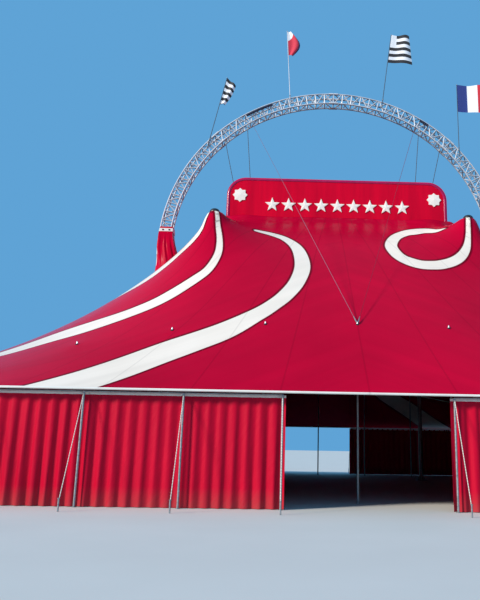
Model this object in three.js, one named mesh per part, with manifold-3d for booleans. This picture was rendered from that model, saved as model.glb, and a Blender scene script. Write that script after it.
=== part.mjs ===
// A circus big top tent, in millimetres, +Z up, origin at the middle of the tent on the ground.
// -Y is the public's front, +X is the right-hand end seen from there.
// A lattice arch stands on two legs inside the tent and carries a box-shaped cupola. The roof is a
// tensioned skin laced to the cupola's ring, lifted at four masts and held down along a level eave.
import * as THREE from 'three';
import { mergeVertices } from 'three/addons/utils/BufferGeometryUtils.js';
import Module from 'manifold-3d';

const wasm = await Module();
wasm.setup();

const METRE = 1000;
const GAP = 0.4;                 // clearance between pieces that touch
const SLIVER = 0.1;              // edges and steps below this are cleared away

// plan of the tent: a rectangle with large round corners
const HALF_LENGTH = 18600;
const HALF_WIDTH = 14000;
const CORNER_RADIUS = 9000;
const EAVE_HEIGHT = 3150;
const SKIN = 60;                 // roof skin, thicker than the real cloth
const WALL_INSET = 320;
const WALL_THICKNESS = 50;
const WALL_TOP = 3600;           // cut back to the roof's underside
const CORNER_STEPS = 8;
const ENTRANCE_HALF_WIDTH = 2300;
const ENTRANCE_POLE = 2400;      // from the middle of an entrance to the pole beside it

// masts and poles
const MAST_OFFSET = 5500;        // each mast stands this far from both centre lines
const MAST_TIP = 11500;
const MAST_RADIUS = 110;
const MAST_FOOT = 600;
const MAST_HOLE_RADIUS = 160;
const PEAK_CAP_RADIUS = 225;
const PEAK_CAP_PROFILE = [       // share of the cap's radius, and height from the mast's tip
  [0, -600], [1, -600], [1, 20], [0.8, 110], [0.45, 160], [0, 175],
];
const MAST_SIDES = 12;
const PLATE = 30;
const SUNK = 1;                  // how far a piece starts inside the one that it is fused to
const QUARTER_POLE_INSET = 2900;
const QUARTER_POLES = 8;         // in each quarter of the plan
const QUARTER_POLE_RADIUS = 38;
const BELT_WIDTH = 90;
const BELT_DEPTH = 60;
const SIDE_POLE_INSET = 180;
const SIDE_POLES = 10;           // in each quarter of the plan
const RAIL = 50;
const SIDE_POLE_RADIUS = 32;
const POLE_REACH = 400;          // above the eave and through the skin, before the cut
const GUY_AT_STAKE = 0.7;        // share of the stake's height
const STAKE_REACH = 1100;        // from the eave out to the stakes
const STAKE_RADIUS = 22;
const STAKE_HEIGHT = 330;
const GUY_WIDTH = 22;

// cupola
const CUPOLA_HALF_LENGTH = 5250;
const CUPOLA_HALF_WIDTH = 3000;
const CUPOLA_BASE = 12260;
const CUPOLA_TOP = 14230;
const CUPOLA_CORNER = 900;
const CUPOLA_WALL = 60;
const RING_BAR = 200;
const STAR_COUNT = 9;
const STAR_PITCH = 773;
const STAR_HEIGHT_ON_PANEL = 620;
const STAR = { tips: 5, radius: 360, waist: 0.42 };      // waist: inner corners' share of the radius
const ROSETTE_FROM_MIDDLE = 4630;
const ROSETTE_HEIGHT_ON_PANEL = 1070;
const ROSETTE = { tips: 8, radius: 350, waist: 0.78 };
const RELIEF = 60;               // how far stars and rosettes stand out

// arch
const ARCH_RADIUS = 8630;
const ARCH_SPRING = 11500;       // height of the arch's centre and of the legs' tops
const CHORD_OFFSET = 270;        // chord centres from the centre line, both ways
const CHORD = 70;
const BRACE = 32;
const FLANGE = 16;
const FLANGE_WIDTH = 80;
const FLANGE_SETBACK = 8;        // from the chords' outer faces
const ARCH_SECTION = Math.PI / 4;
const BAYS_PER_SECTION = 4;
const CHORD_STEPS = 4;
const BRACE_MARGIN = 0.015;      // share of a section left clear at each end
const POLE_SIDES = 5;
const BAYS_PER_LEG = 6;
const LEG_END = 60;              // length of chord left clear of bracing at each end of a leg
const LEG_FOOT = 1000;

// cables
const CABLE_WIDTH = 24;
const HANGERS = [['outer', 5750, 4950], ['inner', 4600, 4250]]; // distance from the middle, above and below
const STAY_AT_ARCH = 4400;       // distance from the middle at the arch
const HEAD_RADIUS = 75;          // head of the quarter pole that takes the stays
const HEAD_TIP_RADIUS = 45;
const HEAD_HEIGHT = 160;         // above the skin
const STAY_BELOW_TIP = 50;
const INTO_ARCH = 0.01;          // share of a stay's length that is cut off at the arch

// fabric boots round the arch legs
const BOOT_WALL = 40;
const BOOT_SIDES = 16;
const BOOT_TOP = 12600;
const BOOT_SQUARE_TO = 11900;    // square above this height, round below BOOT_ROUND_AT
const BOOT_ROUND_AT = 10400;
const BOOT_PROFILE = [           // half-width and height, from the flared skirt up
  [1900, 7300], [1350, 8700], [950, 9450], [680, 10100], [520, 10700], [450, 11200], [400, 11900],
];
const LEG_HOLE = 420;            // half-width of the roof's hole for a leg

// flags
const POLE_RADIUS = 20;
const FLAG_THICKNESS = 12;

const material = (color, roughness, metalness = 0) =>
  new THREE.MeshStandardMaterial({ color, roughness, metalness });
const RED_CLOTH = () => material(0xc00c34, 0.4);
const RED_WALL = () => material(0xb3142f, 0.6);
const WHITE_STEEL = () => material(0xd9dadc, 0.45, 0.3);
const GREY_STEEL = () => material(0x8f9396, 0.5, 0.7);
const ROPE = () => material(0x3a3a3c, 0.8);

const tent = new THREE.Group();

function addNode(name, geometry, finish) {
  const mesh = new THREE.Mesh(geometry, finish);
  mesh.name = name;
  tent.add(mesh);
}

function solid(geometry) {
  const bare = geometry.clone();
  bare.deleteAttribute('normal');
  bare.deleteAttribute('uv');
  const merged = mergeVertices(bare, 1e-4);
  const mesh = new wasm.Mesh({
    numProp: 3,
    vertProperties: new Float32Array(merged.attributes.position.array),
    triVerts: new Uint32Array(merged.index.array),
  });
  return new wasm.Manifold(mesh);
}

function geometryOf(manifold) {
  const mesh = manifold.simplify(SLIVER).getMesh();
  const geometry = new THREE.BufferGeometry();
  geometry.setAttribute('position', new THREE.BufferAttribute(new Float32Array(mesh.vertProperties), 3));
  geometry.setIndex(new THREE.BufferAttribute(new Uint32Array(mesh.triVerts), 1));
  geometry.computeVertexNormals();
  return geometry;
}

const union = (solids) => wasm.Manifold.union(solids);

// A cut can leave stubs beside the piece itself.
const largestPiece = (manifold) => manifold.decompose().sort((a, b) => b.volume() - a.volume())[0];

// A closed slab between two grids of points. Rows times columns points out of the first grid.
function slab(front, back, wraps = false) {
  const rows = front.length;
  const columns = front[0].length;
  const positions = [];
  for (const grid of [front, back]) {
    for (const row of grid) {
      for (const point of row) positions.push(point.x, point.y, point.z);
    }
  }
  const layer = rows * columns;
  const index = [];
  const at = (side, row, column) => side * layer + row * columns + (column % columns);
  const quad = (a, b, c, d) => index.push(a, b, c, a, c, d);
  const lastColumn = wraps ? columns : columns - 1;
  for (let row = 0; row < rows - 1; row += 1) {
    for (let column = 0; column < lastColumn; column += 1) {
      quad(at(0, row, column), at(0, row + 1, column), at(0, row + 1, column + 1), at(0, row, column + 1));
      quad(at(1, row, column), at(1, row, column + 1), at(1, row + 1, column + 1), at(1, row + 1, column));
    }
    if (!wraps) {
      quad(at(0, row, 0), at(1, row, 0), at(1, row + 1, 0), at(0, row + 1, 0));
      quad(at(0, row, lastColumn), at(0, row + 1, lastColumn), at(1, row + 1, lastColumn), at(1, row, lastColumn));
    }
  }
  for (let column = 0; column < lastColumn; column += 1) {
    const end = rows - 1;
    quad(at(0, 0, column), at(0, 0, column + 1), at(1, 0, column + 1), at(1, 0, column));
    quad(at(0, end, column), at(1, end, column), at(1, end, column + 1), at(0, end, column + 1));
  }
  const geometry = new THREE.BufferGeometry();
  geometry.setAttribute('position', new THREE.Float32BufferAttribute(positions, 3));
  geometry.setIndex(index);
  return geometry;
}

const shifted = (grid, dx, dy, dz) =>
  grid.map((row) => row.map((point) => new THREE.Vector3(point.x + dx, point.y + dy, point.z + dz)));

// A square bar, or a round one with a few sides, from one point to another.
function bar(from, to, width, sides = 4) {
  const length = from.distanceTo(to);
  const geometry = sides === 4
    ? new THREE.BoxGeometry(width, length, width)
    : new THREE.CylinderGeometry(width / 2, width / 2, length, sides);
  const direction = to.clone().sub(from).normalize();
  geometry.applyQuaternion(new THREE.Quaternion().setFromUnitVectors(new THREE.Vector3(0, 1, 0), direction));
  geometry.translate((from.x + to.x) / 2, (from.y + to.y) / 2, (from.z + to.z) / 2);
  return geometry;
}

function box(low, high) {
  const geometry = new THREE.BoxGeometry(high[0] - low[0], high[1] - low[1], high[2] - low[2]);
  geometry.translate((low[0] + high[0]) / 2, (low[1] + high[1]) / 2, (low[2] + high[2]) / 2);
  return geometry;
}

// Plan outline: length along a quarter of the rounded rectangle, from the middle of the right-hand
// end round to the middle of the back, at a given inset from the eave.
function quarterLengths(inset) {
  const radius = CORNER_RADIUS - inset;
  return [HALF_WIDTH - CORNER_RADIUS, (radius * Math.PI) / 2, HALF_LENGTH - CORNER_RADIUS];
}

const total = (lengths) => lengths.reduce((sum, length) => sum + length, 0);

function quarterPoint(distance, inset) {
  const radius = CORNER_RADIUS - inset;
  const centreX = HALF_LENGTH - CORNER_RADIUS;
  const centreY = HALF_WIDTH - CORNER_RADIUS;
  const [endLength, cornerLength] = quarterLengths(inset);
  if (distance <= endLength) {
    return { x: centreX + radius, y: distance, nx: 1, ny: 0 };
  }
  if (distance <= endLength + cornerLength) {
    const angle = (distance - endLength) / radius;
    const nx = Math.cos(angle);
    const ny = Math.sin(angle);
    return { x: centreX + radius * nx, y: centreY + radius * ny, nx, ny };
  }
  return { x: centreX - (distance - endLength - cornerLength), y: centreY + radius, nx: 0, ny: 1 };
}

// Height of the roof. A tensioned skin between a high ring, four peaks and a level eave follows a
// soap-film surface: a sum of log-shaped sources under the peaks and the cupola and outside the
// eave, whose strengths are solved so that the skin passes through its supports.
const PEAK_SOFTNESS = 0.4;
const RING_SOFTNESS = 0.9;
const RING_HEIGHT = 12.3;
const EAVE_SOURCES = 12;
const EAVE_SOURCE_DISTANCE = -3 * METRE;
const RING_TARGETS = [[0, 2.9], [1.8, 2.9], [3.6, 2.9], [5.1, 2.8], [5.25, 1.5], [5.25, 0]];
const RING_SOURCES = [[0, 1.5], [1.8, 1.5], [3.6, 1.5], [4.3, 1.7], [4.1, 0.9], [4.1, 0]];

function spread(count, inset) {
  const length = total(quarterLengths(inset));
  return Array.from({ length: count }, (_, step) => {
    const spot = quarterPoint((length * (step + 0.5)) / count, inset);
    return [spot.x / METRE, spot.y / METRE];
  });
}

function mirrorImages([x, y]) {
  const across = x === 0 ? [x] : [x, -x];
  const along = y === 0 ? [y] : [y, -y];
  return across.flatMap((px) => along.map((py) => [px, py]));
}

function influence(x, y, source) {
  return source.images.reduce((sum, [px, py]) =>
    sum - 0.5 * Math.log((x - px) ** 2 + (y - py) ** 2 + source.softness ** 2), 0);
}

function solveLinear(matrix, values) {
  const size = values.length;
  const rows = matrix.map((row, at) => [...row, values[at]]);
  for (let pivot = 0; pivot < size; pivot += 1) {
    let best = pivot;
    for (let row = pivot + 1; row < size; row += 1) {
      if (Math.abs(rows[row][pivot]) > Math.abs(rows[best][pivot])) best = row;
    }
    [rows[pivot], rows[best]] = [rows[best], rows[pivot]];
    for (let row = 0; row < size; row += 1) {
      const factor = row === pivot ? 0 : rows[row][pivot] / rows[pivot][pivot];
      for (let column = pivot; column <= size && factor !== 0; column += 1) {
        rows[row][column] -= factor * rows[pivot][column];
      }
    }
  }
  return rows.map((row, at) => row[size] / row[at]);
}

function roofSurface() {
  const peak = [MAST_OFFSET / METRE, MAST_OFFSET / METRE];
  const sources = [
    { at: peak, softness: PEAK_SOFTNESS },
    ...RING_SOURCES.map((at) => ({ at, softness: RING_SOFTNESS })),
    ...spread(EAVE_SOURCES, EAVE_SOURCE_DISTANCE).map((at) => ({ at, softness: 0 })),
  ].map((source) => ({ ...source, images: mirrorImages(source.at) }));
  const targets = [
    { at: peak, height: MAST_TIP / METRE },
    ...RING_TARGETS.map((at) => ({ at, height: RING_HEIGHT })),
    ...spread(EAVE_SOURCES, 0).map((at) => ({ at, height: EAVE_HEIGHT / METRE })),
  ];
  const matrix = targets.map(({ at }) => [...sources.map((source) => influence(at[0], at[1], source)), 1]);
  matrix.push([...sources.map((source) => source.images.length), 0]);
  const strengths = solveLinear(matrix, [...targets.map(({ height }) => height), 0]);
  const base = strengths[sources.length];
  return (x, y) => METRE * sources.reduce((sum, source, at) =>
    sum + strengths[at] * influence(x / METRE, y / METRE, source), base);
}

const roofHeight = roofSurface();

// The roof grid: rays from the cupola's ring out to the eave. Rays pass through the ring's corners,
// the masts and the ends of the round plan corners, and lie closer together near a mast.
const degrees = (radians) => (radians * 180) / Math.PI;
const RING_CORNER_RAY = degrees(Math.atan2(CUPOLA_HALF_WIDTH, CUPOLA_HALF_LENGTH));
const PLAN_CORNER_START = degrees(Math.atan2(HALF_WIDTH - CORNER_RADIUS, HALF_LENGTH));
const PLAN_CORNER_END = degrees(Math.atan2(HALF_WIDTH, HALF_LENGTH - CORNER_RADIUS));
const QUARTER_RAYS = [
  0, 7.5, PLAN_CORNER_START, 22.5, RING_CORNER_RAY, 35, 39, 42.3,
  45, 47.7, 51, PLAN_CORNER_END, 62, 69, 76, 83, 90,
];
const RAYS_PER_QUARTER = QUARTER_RAYS.length - 1;
const PEAK_SHARE = 0.2444;       // share of the way out at which the middle ray meets the mast
const SHARES = [0, 0.06, 0.12, 0.18, PEAK_SHARE, 0.31, 0.38, 0.47, 0.57, 0.68, 0.79, 0.9, 1];

function rayToRectangle(angle, halfLength, halfWidth) {
  return Math.min(halfLength / Math.abs(Math.cos(angle)), halfWidth / Math.abs(Math.sin(angle)));
}

function rayToEave(angle, outset) {
  const cx = HALF_LENGTH - CORNER_RADIUS;
  const cy = HALF_WIDTH - CORNER_RADIUS;
  const radius = CORNER_RADIUS + outset;
  const dx = Math.abs(Math.cos(angle));
  const dy = Math.abs(Math.sin(angle));
  const reach = rayToRectangle(angle, HALF_LENGTH + outset, HALF_WIDTH + outset);
  if (reach * dx <= cx || reach * dy <= cy) return reach;
  const along = dx * cx + dy * cy;
  return along + Math.sqrt(along * along - (cx * cx + cy * cy - radius * radius));
}

// one roof row of points, at a share of the way from the ring to the eave
function roofPoint(angle, share, outset) {
  const inner = rayToRectangle(angle, CUPOLA_HALF_LENGTH, CUPOLA_HALF_WIDTH);
  const outer = rayToEave(angle, share === 1 ? outset : 0);
  const middle = Math.SQRT2 * MAST_OFFSET;
  const isMastRay = Math.abs(Math.abs(Math.cos(angle)) - Math.SQRT1_2) < 1e-9;
  const reach = isMastRay && share === PEAK_SHARE ? middle : inner + (outer - inner) * share;
  const x = reach * Math.cos(angle);
  const y = reach * Math.sin(angle);
  if (share === 0) return new THREE.Vector3(x, y, CUPOLA_BASE);
  if (share === 1) return new THREE.Vector3(x, y, EAVE_HEIGHT);
  return new THREE.Vector3(x, y, roofHeight(x, y));
}

const FULL_TURN_RAYS = [];
for (let quarter = 0; quarter < 4; quarter += 1) {
  const quarterRays = quarter % 2 === 0 ? QUARTER_RAYS : QUARTER_RAYS.map((ray) => 90 - ray).reverse();
  for (const ray of quarterRays.slice(0, -1)) {
    FULL_TURN_RAYS.push(THREE.MathUtils.degToRad(90 * quarter + ray));
  }
}

const roofGrid = (rays, outset = 0) => SHARES.map((share) => rays.map((ray) => roofPoint(ray, share, outset)));

// Everything under the skin's top, and the skin itself with a little clearance all round.
const wholeRoof = roofGrid(FULL_TURN_RAYS, GAP);
const underTop = solid(slab(
  shifted(wholeRoof, 0, 0, GAP),
  wholeRoof.map((row) => row.map((point) => new THREE.Vector3(point.x, point.y, 0))),
  true,
));
const skinWithClearance = solid(slab(
  shifted(wholeRoof, 0, 0, GAP),
  shifted(wholeRoof, 0, 0, -SKIN - GAP),
  true,
));

const QUARTER_NAMES = ['back_right', 'back_left', 'front_left', 'front_right'];

function roofOpenings() {
  const cuts = [];
  for (const side of [-1, 1]) {
    cuts.push(solid(box(
      [side * ARCH_RADIUS - LEG_HOLE, -LEG_HOLE, EAVE_HEIGHT],
      [side * ARCH_RADIUS + LEG_HOLE, LEG_HOLE, BOOT_TOP],
    )));
    for (const end of [-1, 1]) {
      const hole = new THREE.CylinderGeometry(MAST_HOLE_RADIUS, MAST_HOLE_RADIUS, MAST_TIP, MAST_SIDES);
      hole.rotateX(Math.PI / 2);
      hole.translate(side * MAST_OFFSET, end * MAST_OFFSET, MAST_TIP);
      cuts.push(solid(hole));
    }
  }
  return union(cuts);
}

function buildRoof() {
  const openings = roofOpenings();
  QUARTER_NAMES.forEach((name, quarter) => {
    const first = quarter * RAYS_PER_QUARTER;
    const rays = [];
    for (let step = 0; step <= RAYS_PER_QUARTER; step += 1) {
      rays.push(FULL_TURN_RAYS[(first + step) % FULL_TURN_RAYS.length]);
    }
    const top = roofGrid(rays);
    for (const row of top) {
      const start = rays[0];
      const end = rays[RAYS_PER_QUARTER];
      row[0].add(new THREE.Vector3(-Math.sin(start), Math.cos(start), 0).multiplyScalar(GAP / 2));
      row[RAYS_PER_QUARTER].add(new THREE.Vector3(Math.sin(end), -Math.cos(end), 0).multiplyScalar(GAP / 2));
    }
    const quarterSolid = solid(slab(top, shifted(top, 0, 0, -SKIN))).subtract(openings);
    addNode(`roof_${name}`, geometryOf(quarterSolid), RED_CLOTH());
  });
}

// Side walls hang just inside the side poles, from the roof's underside down to the ground.
function wall(name, quarterSpots, sx, sy) {
  const spots = quarterSpots.map(({ x, y, nx, ny }) => ({ x: x * sx, y: y * sy, nx: nx * sx, ny: ny * sy }));
  const face = (offset) => [0, WALL_TOP].map((z) => spots.map((spot) =>
    new THREE.Vector3(spot.x + spot.nx * offset, spot.y + spot.ny * offset, z)));
  const inside = face(-WALL_THICKNESS / 2);
  const outside = face(WALL_THICKNESS / 2);
  const curtain = solid(sx * sy > 0 ? slab(inside, outside) : slab(outside, inside));
  addNode(`wall_${name}`, geometryOf(largestPiece(curtain.subtract(skinWithClearance))), RED_WALL());
}

function buildWalls() {
  const [endLength, cornerLength] = quarterLengths(WALL_INSET);
  const round = Array.from({ length: CORNER_STEPS + 1 }, (_, step) =>
    quarterPoint(endLength + GAP + ((cornerLength - GAP) * step) / CORNER_STEPS, WALL_INSET));
  const beside = { ...round[CORNER_STEPS], x: ENTRANCE_HALF_WIDTH };
  for (const [side, sx] of [['left', -1], ['right', 1]]) {
    for (const [face, sy] of [['front', -1], ['back', 1]]) {
      wall(`${face}_${side}`, [...round, beside], sx, sy);
    }
    const endSpot = quarterPoint(endLength - GAP, WALL_INSET);
    wall(`end_${side}`, [{ ...endSpot, y: -endSpot.y }, endSpot], sx, 1);
  }
}

// Poles stand on the ground and are cut back to the roof's underside.
function post(spot, radius, top, sides) {
  return bar(new THREE.Vector3(spot.x, spot.y, 0), new THREE.Vector3(spot.x, spot.y, top), 2 * radius, sides);
}

// A belt under the skin along one quarter of the plan, from one distance to another.
function belt(inset, from, to, steps, width, top, bottom) {
  const grid = [-width / 2, width / 2].map((offset) => Array.from({ length: steps + 1 }, (_, step) => {
    const spot = quarterPoint(from + ((to - from) * step) / steps, inset);
    return new THREE.Vector3(spot.x + spot.nx * offset, spot.y + spot.ny * offset, 0);
  }));
  const raised = (height) => grid.map((row) => row.map(({ x, y }) => new THREE.Vector3(x, y, height(x, y))));
  return solid(slab(raised(top), raised(bottom)));
}

// Quarter poles are joined by the reinforcing belt under the skin. Neighbouring quarters take turns
// to hold the pole on the centre line that they share.
function quarterPoleSet(first) {
  const pitch = total(quarterLengths(QUARTER_POLE_INSET)) / QUARTER_POLES;
  const last = first + QUARTER_POLES - 1;
  const pieces = [belt(
    QUARTER_POLE_INSET,
    (first - 0.5) * pitch + GAP,
    (last + 0.5) * pitch - GAP,
    2 * QUARTER_POLES,
    BELT_WIDTH,
    (x, y) => roofHeight(x, y),
    (x, y) => roofHeight(x, y) - SKIN - BELT_DEPTH,
  )];
  for (let at = first; at <= last; at += 1) {
    const spot = quarterPoint(pitch * at, QUARTER_POLE_INSET);
    pieces.push(solid(post(spot, QUARTER_POLE_RADIUS, roofHeight(spot.x, spot.y) - SKIN / 2, POLE_SIDES)));
  }
  return union(pieces);
}

// Side poles are joined by the eave rail, and each is held out by a guy rope and its stake.
function sidePoleSet() {
  const length = total(quarterLengths(SIDE_POLE_INSET));
  const pitch = (length - ENTRANCE_POLE) / (SIDE_POLES - 0.5);
  const pieces = [belt(
    SIDE_POLE_INSET,
    pitch / 2,
    length - ENTRANCE_POLE,
    2 * SIDE_POLES,
    RAIL,
    () => EAVE_HEIGHT - SKIN - GAP,
    () => EAVE_HEIGHT - SKIN - GAP - RAIL,
  )];
  for (let at = 0; at < SIDE_POLES; at += 1) {
    const spot = quarterPoint(pitch * (at + 0.5), SIDE_POLE_INSET);
    pieces.push(solid(post(spot, SIDE_POLE_RADIUS, EAVE_HEIGHT + POLE_REACH, POLE_SIDES)));
    const reach = SIDE_POLE_INSET + STAKE_REACH;
    const foot = { x: spot.x + spot.nx * reach, y: spot.y + spot.ny * reach };
    pieces.push(solid(post(foot, STAKE_RADIUS, STAKE_HEIGHT, 4)));
    pieces.push(solid(bar(
      new THREE.Vector3(spot.x, spot.y, EAVE_HEIGHT - SKIN - 2 * RAIL),
      new THREE.Vector3(foot.x, foot.y, STAKE_HEIGHT * GUY_AT_STAKE),
      GUY_WIDTH,
      3,
    )));
  }
  return union(pieces);
}

function buildPoles() {
  const sidePoles = sidePoleSet();
  for (const [name, sx, sy, first] of [
    ['back_right', 1, 1, 0], ['back_left', -1, 1, 1],
    ['front_left', -1, -1, 0], ['front_right', 1, -1, 1],
  ]) {
    const place = (poles) => largestPiece(poles.scale([sx, sy, 1]).subtract(skinWithClearance));
    addNode(`quarter_poles_${name}`, geometryOf(place(quarterPoleSet(first))), GREY_STEEL());
    addNode(`side_poles_${name}`, geometryOf(place(sidePoles)), GREY_STEEL());
  }
}

function buildMasts() {
  for (const [side, sx] of [['left', -1], ['right', 1]]) {
    for (const [face, sy] of [['front', -1], ['back', 1]]) {
      const x = sx * MAST_OFFSET;
      const y = sy * MAST_OFFSET;
      const profile = PEAK_CAP_PROFILE.map(([share, height]) => new THREE.Vector2(PEAK_CAP_RADIUS * share, height));
      const cap = new THREE.LatheGeometry(profile, MAST_SIDES);
      cap.rotateX(Math.PI / 2);
      cap.translate(x, y, MAST_TIP);
      const foot = box([x - MAST_FOOT / 2, y - MAST_FOOT / 2, 0], [x + MAST_FOOT / 2, y + MAST_FOOT / 2, PLATE]);
      const tube = bar(
        new THREE.Vector3(x, y, SUNK),
        new THREE.Vector3(x, y, MAST_TIP + SKIN),
        2 * MAST_RADIUS,
        MAST_SIDES,
      );
      const mast = union([solid(cap).subtract(underTop), solid(foot), solid(tube)]);
      addNode(`mast_${face}_${side}`, geometryOf(mast), GREY_STEEL());
    }
  }
}

// Lattice work. A place on it is given along its centre line, outwards from it, and across it.
const CORNERS = [[1, -1], [1, 1], [-1, 1], [-1, -1]];

function zigzag(place, bays) {
  const bars = [];
  CORNERS.forEach((corner, face) => {
    const next = CORNERS[(face + 1) % CORNERS.length];
    for (let bay = 0; bay < bays; bay += 1) {
      const [start, end] = bay % 2 === 0 ? [corner, next] : [next, corner];
      bars.push(solid(bar(
        place(bay / bays, start[0] * CHORD_OFFSET, start[1] * CHORD_OFFSET),
        place((bay + 1) / bays, end[0] * CHORD_OFFSET, end[1] * CHORD_OFFSET),
        BRACE,
      )));
    }
  });
  return bars;
}

function squareShape(half) {
  return new THREE.Shape([
    new THREE.Vector2(-half, -half), new THREE.Vector2(half, -half),
    new THREE.Vector2(half, half), new THREE.Vector2(-half, half),
  ]);
}

// a square frame of flat bar that ends a length of lattice
function flange() {
  const outline = squareShape(CHORD_OFFSET + FLANGE_WIDTH / 2 - FLANGE_SETBACK);
  outline.holes.push(squareShape(CHORD_OFFSET - FLANGE_WIDTH / 2));
  return new THREE.ExtrudeGeometry(outline, { depth: FLANGE, bevelEnabled: false });
}

class ArchCurve extends THREE.Curve {
  constructor(radius, across, start, end) {
    super();
    Object.assign(this, { radius, across, start, end });
  }

  getPoint(share, target = new THREE.Vector3()) {
    const angle = this.start + (this.end - this.start) * share;
    return target.set(
      this.radius * Math.cos(angle),
      this.across,
      ARCH_SPRING + this.radius * Math.sin(angle),
    );
  }
}

function buildArch() {
  const square = squareShape(CHORD / 2);
  ['low', 'top'].forEach((name, at) => {
    const clearance = GAP / 2 / (ARCH_RADIUS - CHORD_OFFSET);
    const start = at * ARCH_SECTION + clearance;
    const end = (at + 1) * ARCH_SECTION - clearance;
    const pieces = CORNERS.map(([out, across]) => solid(new THREE.ExtrudeGeometry(square, {
      extrudePath: new ArchCurve(ARCH_RADIUS + out * CHORD_OFFSET, across * CHORD_OFFSET, start, end),
      steps: CHORD_STEPS,
      bevelEnabled: false,
    })));
    const place = (share, out, across) => {
      const curve = new ArchCurve(ARCH_RADIUS + out, across, start, end);
      const along = CHORD_STEPS * THREE.MathUtils.lerp(BRACE_MARGIN, 1 - BRACE_MARGIN, share);
      const step = Math.min(Math.floor(along), CHORD_STEPS - 1);
      return curve.getPoint(step / CHORD_STEPS).lerp(curve.getPoint((step + 1) / CHORD_STEPS), along - step);
    };
    pieces.push(...zigzag(place, BAYS_PER_SECTION));
    for (const [angle, inwards] of [[start, 0], [end, -FLANGE]]) {
      const frame = flange();
      frame.translate(ARCH_RADIUS, 0, inwards);
      frame.rotateY(-angle);
      frame.translate(0, 0, ARCH_SPRING);
      pieces.push(solid(frame));
    }
    const section = union(pieces);
    addNode(`arch_section_right_${name}`, geometryOf(section), WHITE_STEEL());
    addNode(`arch_section_left_${name}`, geometryOf(section.scale([-1, 1, 1])), WHITE_STEEL());
  });
}

function buildLegs() {
  for (const [side, sx] of [['left', -1], ['right', 1]]) {
    const x = sx * ARCH_RADIUS;
    const half = CHORD / 2;
    const top = ARCH_SPRING - GAP / 2;
    const pieces = CORNERS.map(([out, across]) => solid(box(
      [x + out * CHORD_OFFSET - half, across * CHORD_OFFSET - half, SUNK],
      [x + out * CHORD_OFFSET + half, across * CHORD_OFFSET + half, top],
    )));
    const place = (share, out, across) => new THREE.Vector3(x + out, across, LEG_END + (top - 2 * LEG_END) * share);
    pieces.push(...zigzag(place, BAYS_PER_LEG));
    const frame = flange();
    frame.translate(x, 0, top - FLANGE);
    pieces.push(solid(frame));
    pieces.push(solid(box([x - LEG_FOOT / 2, -LEG_FOOT / 2, 0], [x + LEG_FOOT / 2, LEG_FOOT / 2, PLATE])));
    addNode(`arch_leg_${side}`, geometryOf(union(pieces)), WHITE_STEEL());
  }
}

// A boot is a sleeve of cloth: square where it is strapped to the leg, round where it meets the roof.
function buildBoots() {
  const legHalf = CHORD_OFFSET + CHORD / 2;
  const outside = [...BOOT_PROFILE, [legHalf + BOOT_WALL, BOOT_TOP]];
  const inside = outside.map(([width, height]) => [Math.max(width - BOOT_WALL, legHalf + GAP), height]);
  const profile = [...outside, ...inside.reverse()].map(([width, height]) => new THREE.Vector2(width, height));
  profile.push(profile[0].clone());
  const firstLean = ARCH_SECTION / CHORD_STEPS / 2;
  for (const [side, sx] of [['left', -1], ['right', 1]]) {
    const sleeve = new THREE.LatheGeometry(profile, BOOT_SIDES);
    sleeve.rotateX(Math.PI / 2);
    const position = sleeve.attributes.position;
    for (let at = 0; at < position.count; at += 1) {
      const x = position.getX(at);
      const y = position.getY(at);
      const squareness = THREE.MathUtils.smoothstep(position.getZ(at), BOOT_ROUND_AT, BOOT_SQUARE_TO);
      const toSquare = Math.hypot(x, y) / Math.max(Math.abs(x), Math.abs(y));
      const stretch = 1 + (toSquare - 1) * squareness;
      const shift = sx * Math.max(0, position.getZ(at) - ARCH_SPRING) * Math.tan(firstLean);
      position.setXY(at, x * stretch - shift, y * stretch);
    }
    sleeve.translate(sx * ARCH_RADIUS, 0, 0);
    const boot = largestPiece(solid(sleeve).subtract(underTop));
    addNode(`boot_${side}`, geometryOf(boot), RED_CLOTH());
  }
}

// The cupola: a steel ring, two upright panels and a cloth cover over the top and ends.
function cupolaOutline(inset, base = CUPOLA_BASE + GAP) {
  const half = CUPOLA_HALF_LENGTH - inset;
  const top = CUPOLA_TOP - inset;
  const radius = CUPOLA_CORNER - inset;
  const outline = new THREE.Shape();
  outline.moveTo(-half, base);
  outline.lineTo(half, base);
  outline.lineTo(half, top - radius);
  outline.absarc(half - radius, top - radius, radius, 0, Math.PI / 2, false);
  outline.absarc(-half + radius, top - radius, radius, Math.PI / 2, Math.PI, false);
  outline.closePath();
  return outline;
}

function upright(shape, near, depth) {
  const geometry = new THREE.ExtrudeGeometry(shape, { depth, bevelEnabled: false, curveSegments: 6 });
  geometry.rotateX(Math.PI / 2);
  geometry.translate(0, near + depth, 0);
  return geometry;
}

function starShape({ tips, radius, waist }, x, z) {
  const points = [];
  for (let corner = 0; corner < 2 * tips; corner += 1) {
    const reach = corner % 2 === 0 ? radius : radius * waist;
    const angle = Math.PI / 2 + (corner * Math.PI) / tips;
    points.push(new THREE.Vector2(x + reach * Math.cos(angle), z + reach * Math.sin(angle)));
  }
  return new THREE.Shape(points);
}

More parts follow.
